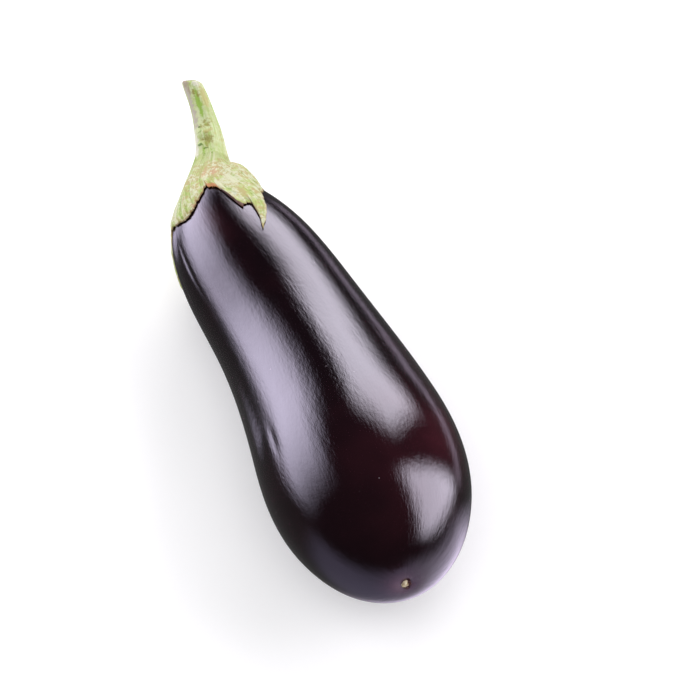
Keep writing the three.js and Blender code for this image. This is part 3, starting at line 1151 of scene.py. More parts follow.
@dataclass
class StemPiece:
    """The cut stem with its flutes, knob, marks and dry end.

    Fields:
        form: the stem's form.
        rows, columns, cap_rows: the grid's size, along the bark, round it and on the cut.
        inset: how far the bark lies inside the solid.
        flutes, flute_depth, grain, grain_depth: coarse and fine unevenness.
        wave_length: the length in millimetres that both take the stem to have.
        swelling, swelling_start, swelling_end: how much thicker the upper part is, and where from.
        end_rounding, rounding_start: how deep the cut's rim is rounded, and where that starts.
        rounding_middle, rounding_spread, rounding_turn: its share, more on the side at that angle in radians.
        pith_depth, pith_edge: how deep the cut is sunk, and over what share of its radius.
        crumbs, crumb_length: the cut's unevenness.
        fibre_radius, fibre_length: the size of the bar that the pattern is rolled on.
        bright, lilac_and_shade, white, tan, olive, dark, dry: the marks of each colour; the lavender-grey
        ones paint shade on the stem's left side.
        grooves, bumps: furrows and swellings in the bark.
    """

    form: StemForm
    rows: int = 230
    columns: int = 220
    cap_rows: int = 12
    inset: float = 0.10
    flutes: Waves = Waves(seed=3, count=16, turns=26, pitch=12.0, middle=1.0, spread=0.5)
    flute_depth: float = 0.16
    grain: Waves = Waves(seed=4, count=30, turns=60, pitch=0.8, middle=1.0, spread=0.5)
    grain_depth: float = 0.06
    wave_length: float = 30.0
    swelling: float = 0.30
    swelling_start: float = 0.1
    swelling_end: float = 0.4
    end_rounding: float = 1.0
    rounding_start: float = 0.955
    rounding_middle: float = 0.6
    rounding_spread: float = 0.4
    rounding_turn: float = 0.6
    pith_depth: float = 0.45
    pith_edge: float = 0.45
    crumbs: Waves = Waves(seed=9, count=14, turns=9, pitch=1.2, middle=0.8, spread=0.2)
    crumb_length: float = 20.0
    fibre_radius: float = 7.0
    fibre_length: float = 45.0
    bright: tuple[Mark, ...] = (
        Mark(place=0.72, angle=99.0, length=0.20, half_angle=17.0, strength=1.0),
        Mark(place=0.455, angle=93.0, length=0.035, half_angle=10.0, strength=0.85),
        Mark(place=0.22, angle=104.0, length=0.035, half_angle=10.0, strength=0.8),
        Mark(place=0.12, angle=116.0, length=0.14, half_angle=7.0, strength=0.75),
        Mark(place=0.10, angle=86.0, length=0.12, half_angle=6.0, strength=0.65),
    )
    # painted shade: the stem's upper left side in lavender-grey
    lilac_and_shade: tuple[Mark, ...] = (
        Mark(place=0.84, angle=154.0, length=0.22, half_angle=31.0, strength=1.0),
        Mark(place=0.58, angle=152.0, length=0.17, half_angle=27.0, strength=1.0),
    )
    white: tuple[Mark, ...] = (
        Mark(place=0.20, angle=152.0, length=0.28, half_angle=22.0, strength=0.95),
        Mark(place=0.95, angle=76.0, length=0.05, half_angle=34.0, strength=0.9),
    )
    tan: tuple[Mark, ...] = (
        Mark(place=0.78, angle=52.0, length=0.16, half_angle=28.0, strength=1.0),
        Mark(place=0.28, angle=24.0, length=0.12, half_angle=7.0, strength=0.6),
        Mark(place=0.37, angle=88.0, length=0.03, half_angle=30.0, strength=0.7),
        Mark(place=0.33, angle=60.0, length=0.07, half_angle=12.0, strength=0.6),
    )
    olive: tuple[Mark, ...] = (
        Mark(place=0.85, angle=107.0, length=0.055, half_angle=13.0, strength=0.78),
        Mark(place=0.81, angle=88.0, length=0.05, half_angle=10.0, strength=0.65),
        Mark(place=0.69, angle=116.0, length=0.04, half_angle=5.0, strength=0.5),
        Mark(place=0.46, angle=93.0, length=0.07, half_angle=32.0, strength=0.68),
        Mark(place=0.26, angle=99.0, length=0.09, half_angle=30.0, strength=0.75),
    )
    dark: tuple[Mark, ...] = (
        Mark(place=0.21, angle=127.0, length=0.025, half_angle=13.0, strength=1.0),
        Mark(place=0.442, angle=126.0, length=0.012, half_angle=6.0, strength=0.9),
        Mark(place=0.375, angle=124.0, length=0.014, half_angle=4.0, strength=0.9, twist=-12.0),
        Mark(place=0.15, angle=108.0, length=0.012, half_angle=16.0, strength=0.6),
        Mark(place=0.03, angle=113.0, length=0.09, half_angle=5.0, strength=0.5),
        Mark(place=0.03, angle=84.0, length=0.09, half_angle=6.0, strength=0.45),
    )
    dry: tuple[Mark, ...] = (
        Mark(place=0.98, angle=150.0, length=0.08, half_angle=34.0, strength=1.0),
        Mark(place=0.88, angle=130.0, length=0.08, half_angle=9.0, strength=0.85),
    )
    grooves: tuple[Mark, ...] = (
        Mark(place=0.03, angle=113.0, length=0.12, half_angle=6.0, strength=0.5),
        Mark(place=0.03, angle=84.0, length=0.12, half_angle=6.0, strength=0.5),
        Mark(place=0.70, angle=99.0, length=0.22, half_angle=9.0, strength=0.45),
        Mark(place=0.375, angle=124.0, length=0.014, half_angle=4.0, strength=0.5, twist=-12.0),
    )
    bumps: tuple[Mark, ...] = (
        Mark(place=0.21, angle=122.0, length=0.04, half_angle=20.0, strength=0.7),
        Mark(place=0.29, angle=92.0, length=0.05, half_angle=22.0, strength=0.35),
        Mark(place=0.80, angle=28.0, length=0.34, half_angle=58.0, strength=0.75),
    )

    def thickness(self, share: Array, degrees: Array) -> Array:
        """The form's radius less the inset, flutes, grain and grooves, plus the bumps and swelling.

        Args:
            share: 0 at the seat and 1 at the cut.
            degrees: the angle round the stem.

        Returns:
            The radii, which fall off by the rounding at the cut's rim.
        """
        turn = np.radians(degrees)
        along = self.wave_length * share
        radius = self.form.radius(share, degrees) - self.inset
        radius = radius - self.flute_depth * self.flutes.uneven(turn, along)
        radius = radius - self.grain_depth * self.grain.uneven(turn, along)
        radius = radius - marked(self.grooves, share, degrees) + marked(self.bumps, share, degrees)
        radius = radius + self.swelling * smoothstep(share, self.swelling_start, self.swelling_end)
        rounding = smoothstep(share, self.rounding_start, 1.0) ** 2
        lean = self.rounding_middle + self.rounding_spread * np.cos(turn - self.rounding_turn)
        return radius - self.end_rounding * rounding * lean

    def bark(self) -> tuple[Array, Array, Array]:
        """The bark: section centre plus thickness, sheared along the stem near the end to slope the cut.

        Returns:
            The points, and the share and angle in degrees of each.
        """
        share = np.linspace(0.0, 1.0, self.rows)[:, None]
        degrees = np.linspace(0.0, 360.0, self.columns, endpoint=False)[None, :]
        share, degrees = np.broadcast_arrays(share, degrees)
        turn = np.radians(degrees)
        centre, tangent, side, over = self.form.section(share)
        radius = self.thickness(share, degrees)
        sideways = radius * np.cos(turn)
        slope = self.form.cut_slope * smoothstep(share, self.form.slope_start, 1.0)
        points = centre + sideways[..., None] * side + (radius * np.sin(turn))[..., None] * over
        points = points - (slope * sideways)[..., None] * tangent
        return points, share, degrees

    def cap(self, last: Array, degrees: Array) -> Array:
        """The cut face: the last ring drawn in to its middle, sunk a little and crumbled.

        Args:
            last: the last ring of the bark.
            degrees: the angle of each of its points.

        Returns:
            Rings towards the middle of the cut.
        """
        _, tangent, _, _ = self.form.section(np.array(1.0))
        inwards = np.linspace(0.0, 1.0, self.cap_rows + 2)[1:-1, None]
        crumbs = self.crumbs.uneven(np.radians(degrees)[None, :], self.crumb_length * inwards)
        sunk = self.pith_depth * smoothstep(inwards, 0.0, self.pith_edge) * crumbs
        rings = last[None] + inwards[..., None] * (last.mean(axis=0) - last)[None]
        return rings - sunk[..., None] * tangent

    def build(self) -> bpy.types.Object:
        """The bark and the cut face in one surface, with its marks.

        Returns:
            The finished piece.
        """
        bark, share, degrees = self.bark()
        cap = self.cap(bark[-1], degrees[0])
        share = np.concatenate([share, np.ones(cap.shape[:2])])
        degrees = np.concatenate([degrees, np.broadcast_to(degrees[:1], cap.shape[:2])])
        cut = np.zeros(share.shape)
        cut[self.rows - 2 :] = 1.0
        fibre = rolled(self.fibre_radius, np.radians(degrees), self.fibre_length * share)
        marks = {
            "white": self.white,
            "lilac_and_shade": self.lilac_and_shade,
            "tan": self.tan,
            "bright": self.bright,
            "olive": self.olive,
            "dark": self.dark,
            "dry": self.dry,
        }
        values = {"fibre": fibre, "cut": cut}
        values |= {name: marked(group, share, degrees) for name, group in marks.items()}
        rows = np.concatenate([bark, cap])
        skin = Skin(rows, bark[0].mean(axis=0), cap[-1].mean(axis=0), values)
        return skin.build("eggplant_stem", StemFinish().material())


# -------------------------------------------------------------------------------------- calyx


@dataclass
class CalyxPiece:
    """The crown and its sepals in one sheet, cut along its edge.

    Fields:
        fruit, stem: the forms that it lies on and carries.
        edge: for each corner of the edge, the angle from which it grows, the angle at which it ends and
            its reach over the skin from the stem end.
        midribs, midrib_half_angle, midrib_reach: each rib's angle and height, and the size of them all.
        shoulder: the arch at the right.
        clearance, tip_curl, curl_start: the gap under the sheet, and how it grows to the edge from a
            share of the reach.
        thickness, edge_thickness, least_thickness, thinning: of the sheet, and over how much it thins.
        bend_start, bend_power: from what share of the reach, and how, the sepals turn to their ends.
        crown_thickness, crown_spread: the bell that thickens the sheet round the stem.
        seat_radius: the radius of the rim at the stem's foot.
        collar_share, collar_sunk, collar_length: where on the stem the sheet starts, and its way down.
        blend_start, flare_start, blend_end: distances where the sheet starts, leaves the collar and
            lies over the fruit.
        stalk: the distances over which the stem's bark colour turns into the sepals'.
        inset: how far the top lies inside the solid.
        columns, outer_rows, inner_rows: the grid's size.
        rag, coarse_rag, fine_rag, lip: how far the edge is frayed, and how far its lip stands out.
        shade_flap, shade_flap_least, shade_flap_core, shade_flap_margin: a dark flap beyond the edge, a
        painted shadow under the middle lobe.
        fibres, fibre_depth, puckers, pucker_depth, pucker_fade, folds, fold_share: the top's relief.
        fibre_radius: the radius of the bar that the pattern is rolled on.
        leafy, grey, pale, tawny, rosy: the marks of each colour.
        rim_width, rim_width_under: how wide the brown edge is, above and below.
        rust_start, rust_end, rust_start_blur, rust_end_blur, rust_width, rust_core: the brown cut.
    """

    fruit: FruitForm
    stem: StemForm
    edge: tuple[Point, ...] = (
        (2, 2, 36), (14, 14, 30), (26, 26, 32), (36, 38, 38.5), (43, 44, 41.8), (48.5, 50.5, 44.2),
        (52, 52.9, 44.4), (55.3, 55.8, 46.7), (57.5, 58.8, 49.2), (60.5, 63.9, 54.5),
        (63.5, 70, 60.5), (65.4, 77.5, 65.4), (66.4, 82.6, 68.9), (67.4, 80, 65.4),
        (68.2, 77, 60.3), (69, 75.2, 55.3), (71.5, 72.4, 49.4), (75, 75.5, 50.6), (78.5, 79, 50.4),
        (81, 81.4, 48.2), (83.6, 83.8, 45), (84.4, 84.4, 39), (85.2, 85, 34), (88, 87, 31.2),
        (91.5, 90.5, 28.8), (96, 96, 27.3), (98.2, 97.6, 24.9), (101, 101, 26.7), (108, 108, 30),
        (114, 114, 32), (121, 121.3, 34.6), (129, 129, 36.3), (137, 136.5, 35.6), (149, 149, 32.6),
        (158, 158, 29.7), (165, 165, 30), (170, 170, 28.5), (176, 176, 26), (185, 185, 25.5),
        (194, 194, 28), (200.5, 203.5, 40), (204, 204.8, 47), (207.5, 205.5, 52.5), (211, 210, 48),
        (216, 216.5, 43), (225, 226, 36), (238, 238, 29), (250, 248, 41), (262, 258, 50),
        (272, 271, 39), (284, 284, 30), (297, 299, 39), (308, 312, 45), (320, 321, 37),
        (331, 331, 30), (341, 340, 38), (350, 348, 44),
    )
    midribs: tuple[tuple[float, float], ...] = (
        (60, 0.7), (128, 4.4), (208, 1.4), (262, 1.6), (308, 1.5), (350, 1.5),
    )
    midrib_half_angle: float = 16.0
    midrib_reach: float = 20.0
    shoulder: Mark = Mark(place=23.0, angle=34.0, length=9.5, half_angle=20.0, strength=2.9)
    clearance: float = 0.08
    tip_curl: float = 0.12
    curl_start: float = 0.55
    thickness: float = 1.55
    edge_thickness: float = 0.85
    least_thickness: float = 0.45
    thinning: float = 3.5
    bend_start: float = 0.7
    bend_power: float = 1.4
    crown_thickness: float = 1.7
    crown_spread: float = 18.0
    seat_radius: float = 8.5
    collar_share: float = 0.085
    collar_sunk: float = 0.35
    collar_length: float = 5.5
    blend_start: float = 9.0
    flare_start: float = 10.5
    blend_end: float = 20.5
    stalk: Band = Band(16.5, 12.0)
    inset: float = 0.12
    columns: int = 1080
    outer_rows: int = 52
    inner_rows: int = 14
    rag: float = 0.85
    coarse_rag: Waves = Waves(seed=21, count=30, turns=90, middle=0.6, spread=0.3)
    fine_rag: Waves = Waves(seed=22, count=40, turns=260, middle=0.0, spread=0.3)
    lip: float = 0.25
    # painted shade: a dark flap beyond the edge that stands for the shadow under the middle lobe
    shade_flap: Mark = Mark(place=0.0, angle=83.0, length=1.0, half_angle=2.2, strength=5.2)
    shade_flap_least: float = 0.5
    shade_flap_core: float = 0.75
    shade_flap_margin: float = 0.3
    fibres: Waves = Waves(seed=31, count=40, turns=110, pitch=6.0, middle=0.4, spread=0.5)
    fibre_depth: float = 0.22
    fibre_radius: float = 26.0
    puckers: Waves = Waves(seed=32, count=24, turns=24, pitch=2.6, middle=0.4, spread=0.5)
    pucker_depth: float = 0.40
    pucker_fade: float = 0.5
    fold_share: float = 0.6
    folds: tuple[Mark, ...] = (
        Mark(place=22.0, angle=137.0, length=13.0, half_angle=3.0, strength=1.1),
        Mark(place=29.0, angle=121.0, length=8.0, half_angle=2.0, strength=0.5),
        Mark(place=48.0, angle=70.0, length=13.0, half_angle=1.6, strength=0.6, twist=4.0),
        Mark(place=37.0, angle=77.0, length=7.0, half_angle=2.0, strength=0.5),
        Mark(place=20.0, angle=112.0, length=8.0, half_angle=2.5, strength=0.5),
        Mark(place=28.0, angle=62.0, length=9.0, half_angle=2.0, strength=0.4),
        Mark(place=10.0, angle=113.0, length=6.0, half_angle=5.0, strength=0.5),
        Mark(place=10.0, angle=84.0, length=6.0, half_angle=5.0, strength=0.5),
    )
    leafy: tuple[Mark, ...] = (
        Mark(place=23.0, angle=137.0, length=12.0, half_angle=2.6, strength=1.0),
        Mark(place=22.0, angle=86.0, length=3.0, half_angle=9.0, strength=0.75),
        Mark(place=17.0, angle=105.0, length=3.0, half_angle=9.0, strength=0.7),
        Mark(place=38.0, angle=79.0, length=4.5, half_angle=2.2, strength=0.7),
        Mark(place=31.0, angle=128.0, length=4.0, half_angle=4.0, strength=0.45),
        Mark(place=45.0, angle=66.0, length=6.0, half_angle=2.0, strength=0.6, twist=4.0),
        Mark(place=9.0, angle=113.0, length=7.0, half_angle=4.0, strength=0.55),
        Mark(place=9.0, angle=84.0, length=7.0, half_angle=4.0, strength=0.55),
    )
    grey: tuple[Mark, ...] = (
        Mark(place=47.5, angle=72.0, length=2.0, half_angle=5.0, strength=0.8, twist=-3.0),
        Mark(place=41.0, angle=79.5, length=3.5, half_angle=3.5, strength=0.55),
    )
    pale: tuple[Mark, ...] = (
        Mark(place=30.0, angle=66.0, length=7.0, half_angle=11.0, strength=0.9),
        Mark(place=24.0, angle=150.0, length=12.0, half_angle=9.0, strength=0.8),
        Mark(place=14.8, angle=95.0, length=1.2, half_angle=42.0, strength=0.3),
        Mark(place=60.0, angle=76.0, length=9.0, half_angle=2.0, strength=0.5, twist=3.0),
    )
    tawny: tuple[Mark, ...] = (
        Mark(place=43.0, angle=71.8, length=6.0, half_angle=4.5, strength=0.95),
        Mark(place=22.0, angle=78.0, length=4.0, half_angle=16.0, strength=0.75),
        Mark(place=17.0, angle=92.0, length=3.0, half_angle=34.0, strength=0.68),
    )
    rosy: tuple[Mark, ...] = (
        Mark(place=19.5, angle=80.0, length=2.2, half_angle=9.0, strength=0.8),
        Mark(place=18.0, angle=98.0, length=1.6, half_angle=8.0, strength=0.7),
        Mark(place=24.0, angle=72.0, length=1.6, half_angle=5.0, strength=0.65),
        Mark(place=22.0, angle=104.0, length=1.4, half_angle=5.0, strength=0.5),
        Mark(place=33.0, angle=118.0, length=1.6, half_angle=5.0, strength=0.8),
    )
    rim_width: float = 0.8
    rim_width_under: float = 3.0
    rust_start: float = 86.5
    rust_start_blur: float = 2.0
    rust_end: float = 97.5
    rust_end_blur: float = 1.0
    rust_width: float = 2.6
    rust_core: float = 0.6

    def edge_at(self, degrees: Array) -> tuple[Array, Array]:
        """The edge, by straight lines between its corners, less the fraying.

        Args:
            degrees: the angle from which each column grows.

        Returns:
            The angle at which it ends, and its reach.
        """
        grows, ends, reach = np.array(self.edge, float).T
        ends_at = degrees + np.interp(degrees, grows, ends - grows, period=360.0)
        reach_at = np.interp(degrees, grows, reach, period=360.0)
        turn = np.radians(degrees)
        still = np.zeros_like(turn)
        frayed = self.coarse_rag.uneven(turn, still) + self.fine_rag.uneven(turn, still)
        return ends_at, reach_at - self.rag * frayed

    def outer_lift(self, distance: Array, degrees: Array, share: Array) -> Array:
        """The sheet's top over the skin, less its thickness: clearance, curl, crown, ribs and shoulder.

        Args:
            distance: the distance over the skin of each point.
            degrees: its angle round the stem.
            share: its share of the column's reach.

        Returns:
            Heights over the skin.
        """
        crown = self.crown_thickness * bell(distance, self.crown_spread)
        ribs = np.zeros(np.broadcast(distance, degrees).shape)
        for angle, height in self.midribs:
            ribs += height * bell(turn_apart(degrees, angle), self.midrib_half_angle)
        ribs = ribs * bell(distance, self.midrib_reach) + self.shoulder.amount(distance, degrees)
        return self.inner_lift(share) + crown + ribs

    def inner_lift(self, share: Array | float) -> Array:
        """The sheet's underside over the skin: close by the stem, curling away at the cut edge."""
        return self.clearance + self.tip_curl * smoothstep(share, self.curl_start, 1.0)

    def relief(self, distance: Array, degrees: Array, share: Array) -> Array:
        """How deep the top is worked: fibres and puckers, fading towards the seat, and folds.

        Args:
            distance: the distance over the skin of each point.
            degrees: its angle round the stem.
            share: its share of the column's reach.

        Returns:
            Depths below the smooth top.
        """
        turn = np.radians(degrees)
        fade = smoothstep(distance, self.blend_start, self.blend_end)
        worked = self.fibre_depth * self.fibres.depths(turn, distance)
        calm = 1.0 - self.pucker_fade * share
        worked = worked + self.pucker_depth * self.puckers.depths(turn, distance) * calm
        return self.inset + fade * worked + self.fold_share * marked(self.folds, distance, degrees)

    def spot(self, degrees: Array, ends: Array, reach: Array, share: Array) -> tuple[Array, Array]:
        """Distance and angle in radians at a share of each column's reach, bending to its end angle."""
        bend = np.maximum(0.0, (share - self.bend_start) / (1.0 - self.bend_start)) ** self.bend_power
        return reach * share, np.radians(degrees + (ends - degrees) * bend)

    def collar(self, distance: Array, degrees: Array) -> Array:
        """The crown's start: from a ring on the stem's side down to the seat's rim, less the folds.

        Args:
            distance: the distance over the skin of each point.
            degrees: its angle round the stem.

        Returns:
            The points.
        """
        down = smoothstep(distance, self.blend_start, self.blend_start + self.collar_length)
        fold = marked(self.folds, distance, degrees)
        ridges = 1.0 + self.stem.ridge_depth * np.cos(self.stem.ridges * np.radians(degrees))
        high = self.stem.radius(self.collar_share, degrees) - self.collar_sunk
        low = self.seat_radius * ridges
        turn = np.radians(degrees)[..., None]
        rings = []
        for share, radius in ((self.collar_share, high), (0.0, low)):
            centre, _, side, over = self.stem.section(np.array(share))
            rings.append(centre + (radius - fold)[..., None] * (np.cos(turn) * side + np.sin(turn) * over))
        return rings[0] + down[..., None] * (rings[1] - rings[0])

    def top(self, degrees: Array, ends: Array, reach: Array) -> tuple[Array, Array, Array]:
        """The top: from the collar over the crown to the edge, by the lift less the relief.

        Args:
            degrees: the angle from which each column grows.
            ends: the angle at which it ends.
            reach: its reach.

        Returns:
            The points, their distances over the skin, and the lift of the last row.
        """
        share = np.linspace(0.0, 1.0, self.outer_rows)[:, None]
        share = share + (1.0 - share) * (self.blend_start / reach)
        distance, angle = self.spot(degrees, ends, reach, share)
        lift = self.outer_lift(distance, degrees, share) - self.relief(distance, degrees, share)
        thin = smoothstep(reach - distance, self.thinning, 0.0)
        lift = lift + self.thickness + (self.edge_thickness - self.thickness) * thin
        lift = np.maximum(lift, self.inner_lift(share) + self.least_thickness)
        away = smoothstep(distance, self.flare_start, self.blend_end)[..., None]
        start = self.collar(distance, np.broadcast_to(degrees, distance.shape))
        points = start + away * (self.fruit.lifted(distance, angle, lift) - start)
        return points, distance, lift[-1:]

    def values(self, degrees: Array, reach: Array, shade_flap: Array, parts: list[Array]) -> dict[str, Array]:
        """What the finish needs to know at each point.

        Args:
            degrees: the angle from which each column grows.
            reach: its reach, with the dark flap.
            shade_flap: how much of that is the dark flap, which is a painted shadow.
            parts: the distances over the skin on the top, on the lip and underneath.

        Returns:
            The pattern's coordinates, and how much of each colour and mark there is.
        """
        over, lip, under = (reach - part for part in parts)
        distances = np.concatenate(parts)
        angles = np.broadcast_to(degrees, distances.shape)
        edge = [bell(over, self.rim_width), np.ones_like(lip), bell(under, self.rim_width_under)]
        start, end = self.rust_start, self.rust_end
        rust = smoothstep(angles, start - self.rust_start_blur, start + self.rust_start_blur)
        rust = rust * smoothstep(angles, end + self.rust_end_blur, end - self.rust_end_blur)
        from_edge = np.concatenate([over, np.zeros_like(lip), under])
        rust = rust * smoothstep(from_edge, self.rust_width, self.rust_core * self.rust_width)
        # painted shade: the dark flap beyond the edge, and then the whole underside
        flap_shade = smoothstep(reach - distances, shade_flap, self.shade_flap_core * shade_flap - self.shade_flap_margin)
        painted_under_shade = flap_shade * (shade_flap > self.shade_flap_least)
        painted_under_shade[self.outer_rows + 1 :] = 1.0
        marks = {
            "leafy": self.leafy,
            "grey": self.grey,
            "pale": self.pale,
            "tawny": self.tawny,
            "rosy": self.rosy,
        }
        values = {
            "fibre": rolled(self.fibre_radius, np.radians(angles), distances),
            "edge": np.concatenate(edge),
            "painted_under_shade": painted_under_shade,
            "rust": rust,
            "stalk": smoothstep(distances, self.stalk.start, self.stalk.end),
        }
        return values | {name: marked(group, distances, angles) for name, group in marks.items()}

    def build(self) -> bpy.types.Object:
        """Rows over the top from the stem to the edge, one round its lip, and rows back underneath.

        Returns:
            The finished piece.
        """
        degrees = np.linspace(0.0, 360.0, self.columns, endpoint=False)[None, :]
        ends, reach = (part[None, :] for part in self.edge_at(degrees[0]))
        shade_flap = self.shade_flap.amount(0.0, degrees)
        reach = reach + shade_flap
        top, over, lift = self.top(degrees, ends, reach)
        lip_distance, angle = self.spot(degrees, ends, reach + self.lip, np.ones_like(degrees))
        lip = self.fruit.lifted(lip_distance, angle, 0.5 * (lift + self.inner_lift(1.0)))
        share = np.linspace(1.0, 0.0, self.inner_rows + 1)[:-1, None] + np.zeros_like(degrees)
        below, angle = self.spot(degrees, ends, reach, share)
        underside = self.fruit.lifted(below, angle, self.inner_lift(share))
        pole = self.fruit.lifted(np.array(0.0), np.array(0.0), self.clearance)
        values = self.values(degrees, reach, shade_flap, [over, lip_distance, below])
        skin = Skin(np.concatenate([top, lip, underside]), self.stem.seat, pole, values)
        return skin.build("eggplant_calyx", CalyxFinish().material())


# -------------------------------------------------------------------------------- blossom scar


@dataclass
class ScarPiece:
    """The corky button in the dimple of the blossom end.

    Fields:
        fruit: the fruit's form.
        radius, sunk, proud: the button's radius, its depth below the skin and its height over it.
        plug_share: the share of the rows that form the plug's side.
        side_rise, dome_rise: the shares of the height that the side and the dome climb.
        crown_power: how the radius closes over the dome, as a power of a cosine.
        least_radius: the radius of the last row.
        outline, outline_depth: how uneven the outline is.
        lumps, lump_length, crumble, crumble_start, crumble_end: how lumpy the top is, and where from.
        painted_shade_side, low_spread, low: the side that is painted dark as shade, which also spreads wider.
        rows, columns: the grid's size.
    """

    fruit: FruitForm
    radius: float = 2.1
    sunk: float = 1.6
    proud: float = 0.70
    plug_share: float = 0.3
    side_rise: float = 0.2
    dome_rise: float = 0.8
    crown_power: float = 0.6
    least_radius: float = 0.02
    outline: Waves = Waves(seed=42, count=6, turns=4, middle=1.0, spread=0.5)
    outline_depth: float = 0.22
    lumps: Waves = Waves(seed=41, count=22, turns=9, pitch=1.4, middle=1.0, spread=0.5)
    lump_length: float = 9.0
    crumble: float = 0.42
    crumble_start: float = 0.2
    crumble_end: float = 0.4
    # painted shade: the side of the scar that is coloured dark
    painted_shade_side: float = 308.0
    low_spread: float = 0.45
    low: Band = Band(0.22, 0.36)
    rows: int = 44
    columns: int = 72

    def build(self) -> bpy.types.Object:
        """A crumbled dome: a plug's side, a rounded shoulder and a lumpy top on the blossom axis.

        Returns:
            The finished piece.
        """
        centre, tangent, side, over = self.fruit.section(np.array(0.0))
        turn = np.linspace(0.0, 2.0 * math.pi, self.columns, endpoint=False)[None, :]
        share = np.linspace(0.0, 1.0, self.rows)[:, None]
        around = 0.5 * math.pi * smoothstep(share, self.plug_share, 1.0)
        closing = np.cos(around) ** self.crown_power
        beside = facing(turn, self.painted_shade_side)
        outline = 1.0 - self.outline_depth * self.outline.uneven(turn, 0.0 * share)
        outline = outline * (1.0 + self.low_spread * beside**2)
        radius = np.maximum(self.radius * outline * closing, self.least_radius)
        climb = (self.sunk + self.side_rise * self.proud) * smoothstep(share, 0.0, self.plug_share)
        height = -self.sunk + climb + self.dome_rise * self.proud * np.sin(around)
        lumps = self.crumble * self.lumps.uneven(turn, self.lump_length * share)
        height = height - lumps * smoothstep(share, self.crumble_start, self.crumble_end)
        across = (radius * np.cos(turn))[..., None] * side + (radius * np.sin(turn))[..., None] * over
        rows = centre + across - height[..., None] * tangent
        # painted shade: dark on that side, most of all at the scar's foot
        values = {"low": smoothstep(beside * closing, self.low.start, self.low.end)}
        skin = Skin(rows, centre + self.sunk * tangent, rows[-1].mean(axis=0), values)
        return skin.build("eggplant_blossom_scar", CorkFinish().material())


# ------------------------------------------------------------------------------------- studio


@dataclass(frozen=True)
class Panel:
    """A soft four-cornered panel of light far away, as the glossy skin mirrors it.

    Fields:
        corners: the azimuth and elevation of its corners, in order round it; azimuth 0 is the blossom
            end's side and 90 the right.
        softness: how softly the side after each corner ends, as the sine of an angle.
        light: its radiance.
    """

    corners: tuple[tuple[float, float], ...]
    softness: tuple[float, ...]
    light: Colour

    def sides(self) -> list[Vector]:
        """The planes through the centre and each two neighbouring corners.

        Returns:
            Their inward normals.
        """
        ends = [direction(*corner) for corner in self.corners]
        middle = sum(ends, Vector())
        normals = [end.cross(after).normalized() for end, after in zip(ends, ends[1:] + ends[:1])]
        return [normal if normal.dot(middle) > 0.0 else -normal for normal in normals]


@dataclass(frozen=True)
class Fill:
    """A soft area light that lights the matt surfaces and the floor.

    Fields:
        azimuth, elevation: where it stands.
        width, height: its size in metres.
        watts, tint: its power and colour.
    """

    azimuth: float
    elevation: float
    width: float
    height: float
    watts: float
    tint: Colour


